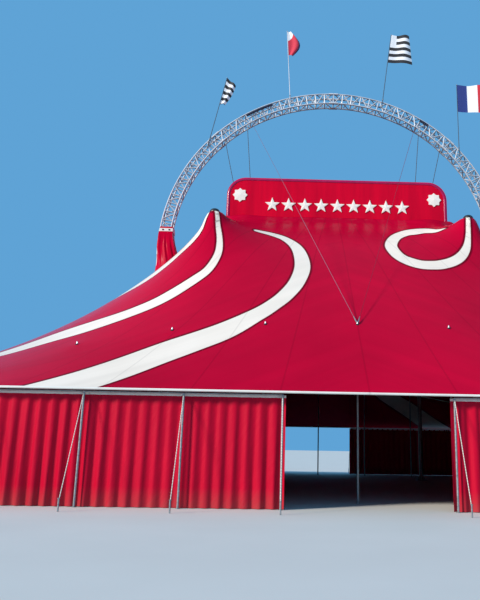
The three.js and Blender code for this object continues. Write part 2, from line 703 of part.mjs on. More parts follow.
function buildCupola() {
  const length = CUPOLA_HALF_LENGTH - GAP;
  const width = CUPOLA_HALF_WIDTH - GAP;
  const ring = solid(box([-length, -width, CUPOLA_BASE - RING_BAR], [length, width, CUPOLA_BASE]))
    .subtract(solid(box(
      [-length + RING_BAR, -width + RING_BAR, CUPOLA_BASE - 2 * RING_BAR],
      [length - RING_BAR, width - RING_BAR, CUPOLA_BASE + RING_BAR],
    )));
  addNode('cupola_ring', geometryOf(ring), GREY_STEEL());
  for (const [face, side] of [['front', -1], ['back', 1]]) {
    const outer = side * CUPOLA_HALF_WIDTH;
    const panel = solid(upright(cupolaOutline(0), Math.min(outer, outer - side * CUPOLA_WALL), CUPOLA_WALL));
    const shapes = Array.from({ length: STAR_COUNT }, (_, at) =>
      starShape(STAR, (at - (STAR_COUNT - 1) / 2) * STAR_PITCH, CUPOLA_BASE + STAR_HEIGHT_ON_PANEL));
    for (const end of [-1, 1]) {
      shapes.push(starShape(ROSETTE, end * ROSETTE_FROM_MIDDLE, CUPOLA_BASE + ROSETTE_HEIGHT_ON_PANEL));
    }
    const reliefs = shapes.map((shape) =>
      solid(upright(shape, Math.min(outer - side * SUNK, outer + side * RELIEF), RELIEF + SUNK)));
    addNode(`cupola_panel_${face}`, geometryOf(union([panel, ...reliefs])), RED_CLOTH());
  }
  const coverHalf = CUPOLA_HALF_WIDTH - CUPOLA_WALL - GAP;
  const hollow = upright(
    cupolaOutline(CUPOLA_WALL, CUPOLA_BASE - RING_BAR),
    -CUPOLA_HALF_WIDTH,
    2 * CUPOLA_HALF_WIDTH,
  );
  const cover = solid(upright(cupolaOutline(0), -coverHalf, 2 * coverHalf)).subtract(solid(hollow));
  addNode('cupola_cover', geometryOf(cover), RED_CLOTH());
}

// Hangers hold the cupola up from the arch's inner chords. Two stays run from there down to one
// head, which stands on the skin above the front's middle quarter pole.
const innerChordHeight = (x) => ARCH_SPRING + Math.sqrt((ARCH_RADIUS - CHORD_OFFSET) ** 2 - x * x);

function chordSeats() {
  const square = squareShape(CHORD / 2 + GAP);
  return union([-1, 1].map((face) => solid(new THREE.ExtrudeGeometry(square, {
    extrudePath: new ArchCurve(ARCH_RADIUS - CHORD_OFFSET, face * CHORD_OFFSET, 0, Math.PI),
    steps: 4 * CHORD_STEPS,
    bevelEnabled: false,
  }))));
}

function buildCables() {
  const seats = chordSeats();
  const cupola = solid(upright(cupolaOutline(-GAP), -CUPOLA_HALF_WIDTH, 2 * CUPOLA_HALF_WIDTH));
  const fromArch = (x, y) => new THREE.Vector3(x, y, innerChordHeight(x));
  for (const [side, sx] of [['left', -1], ['right', 1]]) {
    for (const [place, high, low] of HANGERS) {
      const anchor = new THREE.Vector3(sx * low, -CHORD_OFFSET, CUPOLA_TOP - CUPOLA_CORNER / 2);
      const hanger = solid(bar(fromArch(sx * high, -CHORD_OFFSET), anchor, CABLE_WIDTH));
      addNode(
        `hanger_${place}_${side}`,
        geometryOf(largestPiece(hanger.subtract(seats).subtract(cupola))),
        ROPE(),
      );
    }
  }
  const foot = quarterPoint(total(quarterLengths(QUARTER_POLE_INSET)), QUARTER_POLE_INSET);
  const skinTop = roofHeight(foot.x, foot.y);
  const chordFace = CHORD_OFFSET + CHORD / 2;
  const pieces = [-1, 1].map((sx) => {
    const low = new THREE.Vector3(sx * CABLE_WIDTH, -foot.y, skinTop + HEAD_HEIGHT - STAY_BELOW_TIP);
    const high = fromArch(sx * STAY_AT_ARCH, -chordFace);
    const stay = solid(bar(high.clone().lerp(low, -INTO_ARCH), low, CABLE_WIDTH));
    return stay.trimByPlane([0, -1, 0], chordFace + GAP);
  });
  const head = new THREE.CylinderGeometry(HEAD_TIP_RADIUS, HEAD_RADIUS, 2 * HEAD_HEIGHT, MAST_SIDES);
  head.rotateY(Math.PI / MAST_SIDES);
  head.rotateX(Math.PI / 2);
  head.translate(0, -foot.y, skinTop);
  pieces.push(solid(head));
  addNode('stays_front', geometryOf(largestPiece(union(pieces).subtract(underTop))), ROPE());
}

// Flags: pole foot and top (distance along the arch and height), then the cloth's height, its
// widths below and above, and how far its free end droops.
const FLAGS = [
  { foot: [-6660, 17030], top: [-5790, 21180], height: 1600, widths: [280, 520], droop: 350, wave: 120 },
  { foot: [-2330, 19700], top: [-2590, 24170], height: 1500, widths: [420, 620], droop: 60, wave: 90 },
  { foot: [2610, 19650], top: [3190, 24150], height: 1750, widths: [1380, 1000], droop: 40, wave: 110 },
  { foot: [6730, 16950], top: [6740, 21190], height: 1640, widths: [1650, 1650], droop: 60, wave: 150 },
];
const FLAG_COLOURS = [0xe8e8ea, 0xc8324a, 0xe8e8ea, 0x2b4a9b];
const FLAG_COLUMNS = 6;

function buildFlags() {
  const y = -(CHORD_OFFSET + CHORD / 2 + POLE_RADIUS + GAP);
  FLAGS.forEach(({ foot, top, height, widths, droop, wave }, at) => {
    const lean = (top[0] - foot[0]) / (top[1] - foot[1]);
    const face = (offset) => [top[1] - height, top[1] - POLE_RADIUS].map((z, level) =>
      Array.from({ length: FLAG_COLUMNS + 1 }, (_, column) => {
        const share = column / FLAG_COLUMNS;
        const x = top[0] + (z - top[1]) * lean + widths[level] * share;
        const swing = wave * share * Math.sin(2 * Math.PI * share);
        return new THREE.Vector3(x, y + offset + swing, z - droop * share);
      }));
    const cloth = solid(slab(face(FLAG_THICKNESS / 2), face(-FLAG_THICKNESS / 2)));
    const ends = [new THREE.Vector3(foot[0], y, foot[1]), new THREE.Vector3(top[0], y, top[1])];
    addNode(`flagpole_${at + 1}`, bar(...ends, 2 * POLE_RADIUS, 6), GREY_STEEL());
    const seat = bar(...ends, 2 * (POLE_RADIUS + GAP), 6);
    const held = largestPiece(cloth.subtract(solid(seat)));
    addNode(`flag_${at + 1}`, geometryOf(held), material(FLAG_COLOURS[at], 0.7));
  });
}

buildRoof();
buildWalls();
buildPoles();
buildMasts();
buildLegs();
buildArch();
buildBoots();
buildCupola();
buildCables();
buildFlags();

export default tent;
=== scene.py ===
import math

import bmesh
import bpy
import numpy as np
from mathutils import Euler, Matrix, Vector


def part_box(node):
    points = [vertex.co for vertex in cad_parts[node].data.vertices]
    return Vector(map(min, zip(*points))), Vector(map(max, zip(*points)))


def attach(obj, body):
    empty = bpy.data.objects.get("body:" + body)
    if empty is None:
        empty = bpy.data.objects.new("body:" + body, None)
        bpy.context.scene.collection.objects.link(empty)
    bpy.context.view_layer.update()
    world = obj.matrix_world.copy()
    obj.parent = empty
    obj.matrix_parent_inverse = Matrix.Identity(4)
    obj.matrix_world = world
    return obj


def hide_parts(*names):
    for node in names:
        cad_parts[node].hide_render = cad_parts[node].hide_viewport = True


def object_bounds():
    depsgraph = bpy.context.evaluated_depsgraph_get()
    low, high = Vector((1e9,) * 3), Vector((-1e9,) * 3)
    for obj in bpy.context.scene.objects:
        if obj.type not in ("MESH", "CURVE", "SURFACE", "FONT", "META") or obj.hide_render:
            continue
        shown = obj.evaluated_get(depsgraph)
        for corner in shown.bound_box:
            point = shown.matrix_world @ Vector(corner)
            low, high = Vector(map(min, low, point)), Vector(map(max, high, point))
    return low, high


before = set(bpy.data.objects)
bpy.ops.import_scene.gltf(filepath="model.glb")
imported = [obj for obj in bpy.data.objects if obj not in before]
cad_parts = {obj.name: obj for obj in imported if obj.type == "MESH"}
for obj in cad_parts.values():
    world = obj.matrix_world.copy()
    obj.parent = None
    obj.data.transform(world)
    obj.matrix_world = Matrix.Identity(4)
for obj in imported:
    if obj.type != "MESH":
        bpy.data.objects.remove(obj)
frame_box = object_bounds()

# The studio
# A plain pale floor under plain soft light. The camera stands where the photographer stood, on the ground and
# looking up. The picture is a crop of a wider one, so the lens axis passes right of its middle.
CAMERA_PLACE = (-2.43, -31.98, 1.60)
CAMERA_TILT = math.radians(12.97)
CAMERA_TURN = math.radians(1.45)
CAMERA_ROLL = math.radians(0.98)
LENS = 38.87
LENS_SHIFT = -0.1
FLOOR_RADIUS = 900
SUN_FROM = Vector((-0.74, -0.50, 0.46))
SUN_STRENGTH = 4.3
SUN_WIDTH = math.radians(10)
SUN_COLOUR = (1.0, 0.93, 0.82)
SKY_COLOUR = (0.115, 0.365, 0.67, 1)


def linear(hex_colour):
    """An sRGB hex colour as linear red, green, blue and alpha."""
    channels = [int(hex_colour[at:at + 2], 16) / 255 for at in (1, 3, 5)]
    return [c / 12.92 if c <= 0.04045 else ((c + 0.055) / 1.055) ** 2.4 for c in channels] + [1]


def material(name, recipe, *choices):
    """A material. Its recipe adds nodes, given the object's coordinates, and gives the shader's inputs."""
    made = bpy.data.materials.new(name)
    made.use_nodes = True
    tree = made.node_tree
    tree.nodes.clear()

    def put(kind, inputs, out=0, **settings):
        """Adds a node. Inputs are sockets to link, hex colours or values. Gives an output, or the node."""
        node = tree.nodes.new("ShaderNode" + kind)
        for setting, value in settings.items():
            setattr(node, setting, value)
        for socket, value in inputs.items():
            if isinstance(value, bpy.types.NodeSocket):
                tree.links.new(value, node.inputs[socket])
            else:
                node.inputs[socket].default_value = linear(value) if isinstance(value, str) else value
        return node if out is None else node.outputs[out]

    shader = put("BsdfPrincipled", recipe(put, put("TexCoord", {}, "Object"), *choices))
    put("OutputMaterial", {"Surface": shader}, None)
    return made


def primitive(add, name, finish, **settings):
    """Adds a primitive with nothing else selected, names it and puts its place into its mesh."""
    bpy.ops.object.select_all(action="DESELECT")
    add(**settings)
    piece = bpy.context.object
    piece.name = piece.data.name = name
    piece.data.materials.append(finish)
    bpy.ops.object.transform_apply(location=True, rotation=True, scale=True)
    return piece


def painted_screed(put, place):
    # painted screed: even, pale and dull, with the faintest mottle
    mottle = put("TexNoise", {"Vector": place, "Scale": 0.35, "Detail": 3.0})
    colour = put("Mix", {0: mottle, 6: "#C9C7C2", 7: "#D3D1CC"}, 2, data_type="RGBA")
    return {"Base Color": colour, "Roughness": 0.85}


screed = material("painted_screed_floor", painted_screed)
floor = primitive(bpy.ops.mesh.primitive_circle_add, "studio_floor", screed, vertices=96,
                  radius=FLOOR_RADIUS, fill_type="NGON")

bpy.ops.object.camera_add(location=CAMERA_PLACE)
camera = bpy.context.object
aim = Euler((math.pi / 2 + CAMERA_TILT, 0, -CAMERA_TURN)).to_matrix() @ Matrix.Rotation(CAMERA_ROLL, 3, "Z")
camera.rotation_euler = aim.to_euler()
camera.data.lens = LENS
camera.data.shift_x = LENS_SHIFT
camera.data.clip_end = 4 * FLOOR_RADIUS
bpy.context.scene.camera = camera

bpy.ops.object.light_add(type="SUN")
sun = bpy.context.object
sun.rotation_euler = SUN_FROM.to_track_quat("Z", "Y").to_euler()
sun.data.energy = SUN_STRENGTH
sun.data.angle = SUN_WIDTH
sun.data.color = SUN_COLOUR

sky = bpy.data.worlds.new("studio_sky")
sky.use_nodes = True
sky.node_tree.nodes["Background"].inputs["Color"].default_value = SKY_COLOUR
sky.node_tree.nodes["Background"].inputs["Strength"].default_value = 1.0
bpy.context.scene.world = sky
bpy.context.scene.view_settings.view_transform = "Standard"

# The masts
# Four round galvanised steel tubes lift the roof to its peaks. Each stands on a foot plate with gussets and
# anchor bolts, and a black spun cap on its head clamps the cloth and sheds the rain.
MAST_CORNERS = {"front_left": (-1, -1), "front_right": (1, -1), "back_left": (-1, 1), "back_right": (1, 1)}
MAST_LOW, MAST_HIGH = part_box("mast_back_right")
MAST_FROM_MIDDLE = (MAST_LOW.x + MAST_HIGH.x) / 2
FOOT_HALF = (MAST_HIGH.x - MAST_LOW.x) / 2
MAST_RADIUS = 0.11
CAP_CROWN = 0.175
MAST_TIP = MAST_HIGH.z - CAP_CROWN
FOOT_PLATE = 0.03
GUSSET_REACH, GUSSET_THICK, GUSSET_HEIGHT = 0.15, 0.014, 0.24
GUSSET_IN_TUBE, GUSSET_TOE = 0.005, 0.03
PLATE_EDGE = 0.004
NUT, ANCHOR, ANCHOR_INSET = (0.03, FOOT_PLATE + 0.02), (0.016, FOOT_PLATE + 0.07), 0.07
CAP_PROFILE = [
    (0.0, 0.172), (0.03, 0.17), (0.045, 0.158), (0.09, 0.15), (0.14, 0.128), (0.185, 0.09), (0.212, 0.045),
    (0.225, -0.01), (0.222, -0.04), (0.205, -0.035), (0.19, 0.02), (0.11, 0.03), (0.0, 0.03),
]


def only(piece):
    """Selects one piece and nothing else, so that an operator acts on it alone."""
    bpy.ops.object.select_all(action="DESELECT")
    piece.select_set(True)
    bpy.context.view_layer.objects.active = piece


def in_edit_mode(piece, *steps):
    """Selects all of one piece in edit mode and works on it. A step is an operator and its settings."""
    only(piece)
    bpy.ops.object.mode_set(mode="EDIT")
    bpy.ops.mesh.select_all(action="SELECT")
    for operator, settings in steps:
        operator(**settings)
    bpy.ops.object.mode_set(mode="OBJECT")


def clean_mesh(piece, smooth_to=35):
    """Closes seams, turns the faces out and smooths all but the sharp edges."""
    in_edit_mode(piece, (bpy.ops.mesh.remove_doubles, {"threshold": 1e-5}),
                 (bpy.ops.mesh.normals_make_consistent, {"inside": False}))
    bpy.ops.object.shade_smooth_by_angle(angle=math.radians(smooth_to))
    return piece


def shaped(piece, kind, **settings):
    """Adds a modifier to a piece and applies it."""
    only(piece)
    modifier = piece.modifiers.new(kind.lower(), kind)
    for setting, value in settings.items():
        setattr(modifier, setting, value)
    bpy.ops.object.modifier_apply(modifier=modifier.name)
    return piece


def joined(name, pieces):
    """Joins pieces into one mesh under a new name."""
    only(pieces[0])
    for piece in pieces:
        piece.select_set(True)
    bpy.ops.object.join()
    piece = bpy.context.object
    piece.name = piece.data.name = name
    return piece


def block(name, low, high, finish, edge=0.0):
    """A block between two corners, with its edges rounded where it has an edge radius."""
    piece = primitive(bpy.ops.mesh.primitive_cube_add, name, finish, size=1,
                      location=[(a + b) / 2 for a, b in zip(low, high)],
                      scale=[b - a for a, b in zip(low, high)])
    if edge:
        shaped(piece, "BEVEL", width=edge, segments=2, limit_method="ANGLE")
    return piece


def from_points(name, points, edges, faces, finish):
    """A new piece from bare points, edges and faces."""
    mesh = bpy.data.meshes.new(name)
    mesh.from_pydata(points, edges, faces)
    mesh.materials.append(finish)
    piece = bpy.data.objects.new(name, mesh)
    bpy.context.collection.objects.link(piece)
    return piece


def turned(name, profile, place, finish, sides=36):
    """A round piece: a profile of radius and height, spun about the upright line through its place."""
    piece = from_points(name, [(radius, 0, height) for radius, height in profile],
                        [(at, at + 1) for at in range(len(profile) - 1)], [], finish)
    full_turn = {"steps": sides, "angle": math.tau, "center": (0, 0, 0), "axis": (0, 0, 1)}
    in_edit_mode(piece, (bpy.ops.mesh.spin, full_turn))
    clean_mesh(piece)
    piece.data.transform(Matrix.Translation(place))
    return piece


def stacked(bottom, *tiers):
    """Profile of round tiers on top of each other. Each has a radius and the height of its top."""
    profile = [(0, bottom)]
    for radius, top in tiers:
        profile += [(radius, profile[-1][1]), (radius, top)]
    return profile + [(0, profile[-1][1])]


def fit(piece, slot, *nodes):
    """Sets a finished piece into the frame: its body and the nodes that it stands for, which it hides. Its
    slot is not used.
    """
    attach(piece, "root")
    if nodes:
        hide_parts(*nodes)
    return piece


def galvanised_steel(put, place):
    # steel tube dipped in zinc: dull grey with a faint spangle, drawn at 40 mm to show from the ground
    spangle = put("TexVoronoi", {"Vector": place, "Scale": 1 / 0.04}, "Color")
    grey = put("RGBToBW", {"Color": spangle})
    colour = put("Mix", {0: grey, 6: "#85898C", 7: "#A9ADAF"}, 2, data_type="RGBA")
    rough = put("MapRange", {"Value": grey, "To Min": 0.42, "To Max": 0.58})
    return {"Base Color": colour, "Roughness": rough, "Metallic": 0.85}


def black_enamel(put, place):
    # black stove enamel on pressed steel: near black, half gloss, with a slight orange peel and dust
    dust = put("TexNoise", {"Vector": place, "Scale": 7.0, "Detail": 5.0})
    peel = put("TexNoise", {"Vector": place, "Scale": 90.0, "Detail": 2.0})
    colour = put("Mix", {0: dust, 6: "#101013", 7: "#2A2A2E"}, 2, data_type="RGBA")
    rough = put("MapRange", {"Value": dust, "To Min": 0.30, "To Max": 0.55})
    bump = put("Bump", {"Height": peel, "Strength": 0.15, "Distance": 0.002})
    return {"Base Color": colour, "Roughness": rough, "Normal": bump}


STEEL = material("galvanised_steel_tube", galvanised_steel)
BLACK = material("black_enamelled_fitting", black_enamel)

for corner, (sx, sy) in MAST_CORNERS.items():
    x, y = sx * MAST_FROM_MIDDLE, sy * MAST_FROM_MIDDLE
    parts = [turned("tube", stacked(FOOT_PLATE, (MAST_RADIUS, MAST_TIP)), (x, y, 0), STEEL),
             block("foot", (x - FOOT_HALF, y - FOOT_HALF, 0), (x + FOOT_HALF, y + FOOT_HALF, FOOT_PLATE),
                   STEEL, PLATE_EDGE)]
    for turn in range(4):
        gusset = block("gusset", (MAST_RADIUS - GUSSET_IN_TUBE, -GUSSET_THICK / 2, FOOT_PLATE),
                       (MAST_RADIUS + GUSSET_REACH, GUSSET_THICK / 2, FOOT_PLATE + GUSSET_HEIGHT), STEEL)
        for point in gusset.data.vertices:
            if point.co.x > MAST_RADIUS + GUSSET_REACH / 2 and point.co.z > FOOT_PLATE + GUSSET_HEIGHT / 2:
                point.co.z = FOOT_PLATE + GUSSET_TOE
        bolt = turned("bolt", stacked(FOOT_PLATE, NUT, ANCHOR),
                      (FOOT_HALF - ANCHOR_INSET, FOOT_HALF - ANCHOR_INSET, 0), STEEL, 6)
        for piece in (gusset, bolt):
            piece.data.transform(Matrix.Translation((x, y, 0)) @ Matrix.Rotation(turn * math.pi / 2, 4, "Z"))
            parts.append(piece)
    fit(joined(f"mast_tube_{corner}", parts), "galvanised_steel", f"mast_{corner}")
    fit(turned(f"peak_cap_{corner}", CAP_PROFILE, (x, y, MAST_TIP), BLACK), "dark_fitting")

# The arch
# A square lattice girder of round white-enamelled steel tube, bent to a half circle and standing on two
# straight legs inside the tent. Its four eighth-turn lengths are bolted together at paired flanges.
LEG_LOW, LEG_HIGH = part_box("arch_leg_right")
ARCH_RADIUS = (LEG_LOW.x + LEG_HIGH.x) / 2
ARCH_SPRING = LEG_HIGH.z
ARCH_SECTION = math.pi / 4
CHORD_OFFSET, CHORD_TUBE, CHORD_POINTS = 0.27, 0.036, 24
LACING_TUBE, LACING_PITCH = 0.03, 0.46
LACING_FROM, LACING_TO = 0.12, 0.88
SLEEVE_TUBE, SLEEVE_FROM, SLEEVE_TO = 0.06, 0.001, 0.035
FLANGE_HALF, FLANGE_BAR = 0.31, 0.016
FLANGE_BOLT = (0.0238, 0.03)
FLANGE_BOLT_PLACE = (FLANGE_HALF - 0.02, CHORD_OFFSET - 0.09)
LATTICE_CORNERS = [(1, -1), (1, 1), (-1, 1), (-1, -1)]


def rods(name, lines, radius, finish, rings=2, tapers=None):
    """Round bars along lists of points, in one mesh. Tapers are shares of the radius at a line's points."""
    path = bpy.data.curves.new(name, "CURVE")
    path.dimensions = "3D"
    path.bevel_depth = radius
    path.bevel_resolution = rings
    path.use_fill_caps = True
    for points in lines:
        line = path.splines.new("POLY")
        line.points.add(len(points) - 1)
        line.points.foreach_set("co", [value for point in points for value in (*point, 1)])
        if tapers:
            line.points.foreach_set("radius", tapers)
    piece = bpy.data.objects.new(name, path)
    bpy.context.collection.objects.link(piece)
    only(piece)
    bpy.ops.object.convert(target="MESH")
    piece = bpy.context.object
    piece.name = piece.data.name = name
    piece.data.materials.clear()
    piece.data.materials.append(finish)
    return clean_mesh(piece, 50)


def white_enamel(put, place):
    # white enamel sprayed on steel tube: half gloss, chalked by weather, chipped, painted shade on the
    # undersides
    chalk = put("TexNoise", {"Vector": place, "Scale": 1.3, "Detail": 4.0})
    specks = put("TexNoise", {"Vector": place, "Scale": 28.0, "Detail": 3.0, "Roughness": 0.7})
    chips = put("MapRange", {"Value": specks, "From Min": 0.66, "From Max": 0.72})
    paint = put("Mix", {0: chalk, 6: "#A3A8B2", 7: "#E0E2E6"}, 2, data_type="RGBA")
    chipped = put("Mix", {0: chips, 6: paint, 7: "#8F8D90"}, 2, data_type="RGBA")
    # painted shade: faces that look down are darkened towards a dark blue-grey
    up = put("SeparateXYZ", {"Vector": put("NewGeometry", {}, "Normal")}, "Z")
    under = put("MapRange", {"Value": up, "From Min": -0.1, "From Max": -0.7, "To Max": 0.8})
    colour = put("Mix", {0: under, 6: chipped, 7: "#363C48"}, 2, data_type="RGBA")
    rough = put("MapRange", {"Value": chalk, "To Min": 0.32, "To Max": 0.5})
    bump = put("Bump", {"Height": specks, "Strength": 0.2, "Distance": 0.001})
    return {"Base Color": colour, "Roughness": rough, "Normal": bump}


WHITE_STEEL = material("white_enamelled_tube", white_enamel)


def lattice(name, place, bays, node):
    """Four chords, laced in zigzag. Place gives the point at a share of the length, out and across."""
    def on_chord(share, corner):
        return place(share, corner[0] * CHORD_OFFSET, corner[1] * CHORD_OFFSET)

    chords = [[on_chord(step / CHORD_POINTS, corner) for step in range(CHORD_POINTS + 1)]
              for corner in LATTICE_CORNERS]
    lacing = []
    for face, corner in enumerate(LATTICE_CORNERS):
        beyond = LATTICE_CORNERS[(face + 1) % 4]
        for bay in range(bays):
            low, high = (corner, beyond) if bay % 2 == 0 else (beyond, corner)
            lacing.append([on_chord((bay + LACING_FROM) / bays, low),
                           on_chord((bay + LACING_TO) / bays, high)])
            if bay:
                lacing.append([on_chord(bay / bays, corner), on_chord(bay / bays, beyond)])
    sleeves = [[on_chord(share, corner) for share in ends] for corner in LATTICE_CORNERS
               for ends in ((SLEEVE_FROM, SLEEVE_TO), (1 - SLEEVE_TO, 1 - SLEEVE_FROM))]
    pieces = [rods("chords", chords, CHORD_TUBE, WHITE_STEEL, 4),
              rods("lacing", lacing, LACING_TUBE, WHITE_STEEL, 1),
              rods("sleeves", sleeves, SLEEVE_TUBE, WHITE_STEEL, 3),
              *flange_frame(place, 0), *flange_frame(place, 1)]
    return fit(joined(name, pieces), "white_steel", node)


def flange_frame(place, share):
    """A square frame of flat bar across the end of a length, with a bolt at each corner."""
    middle = place(share, 0, 0)
    outwards = (place(share, 1, 0) - middle).normalized()
    across = (place(share, 0, 1) - middle).normalized()
    along = outwards.cross(across).normalized()
    inwards = 1 if (place(0.5, 0, 0) - middle).dot(along) > 0 else -1
    turn = Matrix((outwards, across, along * inwards)).transposed().to_4x4()
    outer, inner = FLANGE_HALF, 2 * CHORD_OFFSET - FLANGE_HALF
    bars = [((-outer, inner), (outer, outer)), ((-outer, -outer), (outer, -inner)),
            ((-outer, -inner), (-inner, inner)), ((inner, -inner), (outer, inner))]
    made = [block("bar", (*low, 0), (*high, FLANGE_BAR), WHITE_STEEL) for low, high in bars]
    for out, side in LATTICE_CORNERS:
        spot = (FLANGE_BOLT_PLACE[0] * out, FLANGE_BOLT_PLACE[1] * side, 0)
        made.append(turned("bolt", stacked(0, FLANGE_BOLT), spot, STEEL, 6))
    for piece in made:
        piece.data.transform(Matrix.Translation(middle) @ turn)
    return made


def on_arch(angle, out, across):
    radius = ARCH_RADIUS + out
    return Vector((radius * math.cos(angle), across, ARCH_SPRING + radius * math.sin(angle)))


def arch_place(start, turn):
    return lambda share, out, across: on_arch(start + turn * share, out, across)


def leg_place(side):
    foot = LEG_LOW.z + FOOT_PLATE
    return lambda share, out, across: Vector((side * (ARCH_RADIUS + out), across,
                                              foot + share * (ARCH_SPRING - FOOT_PLATE)))


section_bays, leg_bays = (2 * round(length / LACING_PITCH / 2)
                          for length in (ARCH_RADIUS * ARCH_SECTION, ARCH_SPRING))
for side, sx, first in (("right", 1, 0), ("left", -1, math.pi)):
    for at, level in enumerate(("low", "top")):
        place = arch_place(first + sx * ARCH_SECTION * at, sx * ARCH_SECTION)
        lattice(f"arch_girder_{side}_{level}", place, section_bays, f"arch_section_{side}_{level}")
    lattice(f"leg_girder_{side}", leg_place(sx), leg_bays, f"arch_leg_{side}")
    low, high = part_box(f"arch_leg_{side}")
    foot = block(f"leg_foot_{side}", (low.x, low.y, 0), (high.x, high.y, FOOT_PLATE), STEEL, PLATE_EDGE)
    fit(foot, "galvanised_steel")

# The cable looms
# Cables for the lamps run in two soft dark sleeves of woven nylon. They are strapped along the front face of
# the arch, under its outer chord.
LOOM_RADIUS, LOOM_BELOW_CHORD = 0.065, 0.12
LOOM_TURNS = [(122, 112), (58, 54.5)]
LOOM_POINTS = 16
LOOM_STRAP, LOOM_STRAP_TURN = 0.006, 0.004


def woven_sleeve(put, place):
    # woven nylon sleeve: navy to black, dull, with a soft weave drawn at 30 mm
    weave = put("TexVoronoi", {"Vector": place, "Scale": 1 / 0.03}, "Distance")
    colour = put("Mix", {0: weave, 6: "#141B2B", 7: "#2B3B5C"}, 2, data_type="RGBA")
    bump = put("Bump", {"Height": weave, "Strength": 0.4, "Distance": 0.004})
    return {"Base Color": colour, "Roughness": 0.7, "Normal": bump}


SLEEVE = material("woven_nylon_cable_sleeve", woven_sleeve)


def loom_place(turn):
    return on_arch(turn, CHORD_OFFSET - LOOM_BELOW_CHORD, -CHORD_OFFSET - LACING_TUBE - LOOM_RADIUS)


for number, (start, end) in enumerate(LOOM_TURNS, 1):
    turns = np.radians(np.linspace(start, end, LOOM_POINTS))
    loom = rods("loom", [[loom_place(turn) for turn in turns]], LOOM_RADIUS, SLEEVE, 4)
    spans = [[loom_place(turn), loom_place(turn + LOOM_STRAP_TURN)] for turn in turns[1:-1:3]]
    straps = rods("straps", spans, LOOM_RADIUS + LOOM_STRAP, BLACK, 4)
    fit(joined(f"arch_cable_loom_{number}", [loom, straps]), "dark_fitting")

# The flagpoles
# Four slim tapered steel poles clamped to the front of the arch, each with two pipe clamps and a ball finial.
# One is white, and weather has darkened the others.
POLE_RADIUS, FINIAL_RADIUS = 0.02, 0.025
POLE_TAPERS = [1.0, 0.95, 0.8]
CLAMP_HEIGHTS = (0.08, 0.5)
CLAMP_LOW, CLAMP_HIGH, CLAMP_EDGE = Vector((-0.035, -0.022, -0.03)), Vector((0.035, 0.05, 0.03)), 0.006
FLAGPOLES = [((-6.66, 17.03), (-5.79, 21.18)), ((-2.33, 19.70), (-2.59, 24.17)),
             ((2.61, 19.65), (3.19, 24.15)), ((6.73, 16.95), (6.74, 21.19))]
POLE_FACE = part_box("flagpole_1")[0].y + POLE_RADIUS
WHITE_POLE = 2


def weathered_steel(put, place):
    # steel tube that has lost its shine: slate grey with paler scuffs and a rough skin
    scuff = put("TexNoise", {"Vector": place, "Scale": 9.0, "Detail": 5.0})
    colour = put("Mix", {0: scuff, 6: "#23303F", 7: "#4A5866"}, 2, data_type="RGBA")
    return {"Base Color": colour, "Roughness": 0.6}


DARK_STEEL = material("weathered_steel_pole", weathered_steel)

for number, ends in enumerate(FLAGPOLES, 1):
    foot, top = (Vector((x, POLE_FACE, z)) for x, z in ends)
    along = (top - foot).normalized()
    tip = top - along * POLE_RADIUS
    pole = rods("pole", [[foot, foot.lerp(top, 0.5), tip]], POLE_RADIUS,
                WHITE_STEEL if number == WHITE_POLE else DARK_STEEL, 4, POLE_TAPERS)
    finial = clean_mesh(primitive(bpy.ops.mesh.primitive_uv_sphere_add, "finial", STEEL, segments=20,
                                  ring_count=12, radius=FINIAL_RADIUS, location=tip))
    clamps = [block("clamp", at + CLAMP_LOW, at + CLAMP_HIGH, STEEL, CLAMP_EDGE)
              for at in (foot + along * height for height in CLAMP_HEIGHTS)]
    fit(joined(f"flagpole_{number}_pole", [pole, finial, *clamps]), "galvanised_steel", f"flagpole_{number}")

# The roof
# Lacquered PVC-coated polyester, welded from narrow gores in four big sections. It is stretched between the
# ring of the cupola, four masts and a level eave, so its height follows a soap film.
STAKE_REACH, STAKE_RADIUS = 1.1, 0.022
HALF_LENGTH = frame_box[1].x - STAKE_REACH - STAKE_RADIUS
HALF_WIDTH = frame_box[1].y - STAKE_REACH - STAKE_RADIUS
PLAN_CORNER = 9.0
EAVE_HEIGHT = 3.15
CUPOLA_HALF = (5.25, 3.0)
RIM_HEIGHT = 12.26
RING_HEIGHT = 12.3
PEAK_SOFTNESS = 0.4
RING_SOFTNESS = 0.9
EAVE_SOURCES = 12
SOURCES_OUTSIDE = 3.0
RING_TARGETS = [(0, 2.9), (1.8, 2.9), (3.6, 2.9), (5.1, 2.8), (5.25, 1.5), (5.25, 0)]
RING_SOURCES = [(0, 1.5), (1.8, 1.5), (3.6, 1.5), (4.3, 1.7), (4.1, 0.9), (4.1, 0)]
GRID_COLUMNS = 120
GRID_ROWS = 108
GORES = 12
RIM_SHARE, EAVE_SHARE = 0.06, 0.9
CLOTH = 0.008
POLE_HEAD_INSET = 2.9
POLE_HEADS = 8
POLE_HEAD_LIFT, POLE_HEAD_SPREAD = 0.04, 0.35
PEAK_ROUND = 0.42
LEG_HOLE = 0.42


def quarter_lengths(inset):
    """Lengths of the end, the round corner and the long side in one quarter of the plan, at an inset."""
    return (HALF_WIDTH - PLAN_CORNER, (PLAN_CORNER - inset) * math.pi / 2, HALF_LENGTH - PLAN_CORNER)


def along_quarter(distance, inset):
    """Place and outward direction at a distance round the back right quarter, from the right end's middle."""
    end, corner, _ = quarter_lengths(inset)
    radius = PLAN_CORNER - inset
    turn = min(max((distance - end) / radius, 0), math.pi / 2)
    way = Vector((math.cos(turn), math.sin(turn)))
    at = Vector((HALF_LENGTH - PLAN_CORNER, HALF_WIDTH - PLAN_CORNER)) + way * radius
    if distance < end:
        at.y = distance
    if distance > end + corner:
        at.x -= distance - end - corner
    return at, way


def round_quarter(inset, shares):
    """Plan places at shares of the way round a quarter, at an inset."""
    length = sum(quarter_lengths(inset))
    return [along_quarter(length * share, inset)[0] for share in shares]


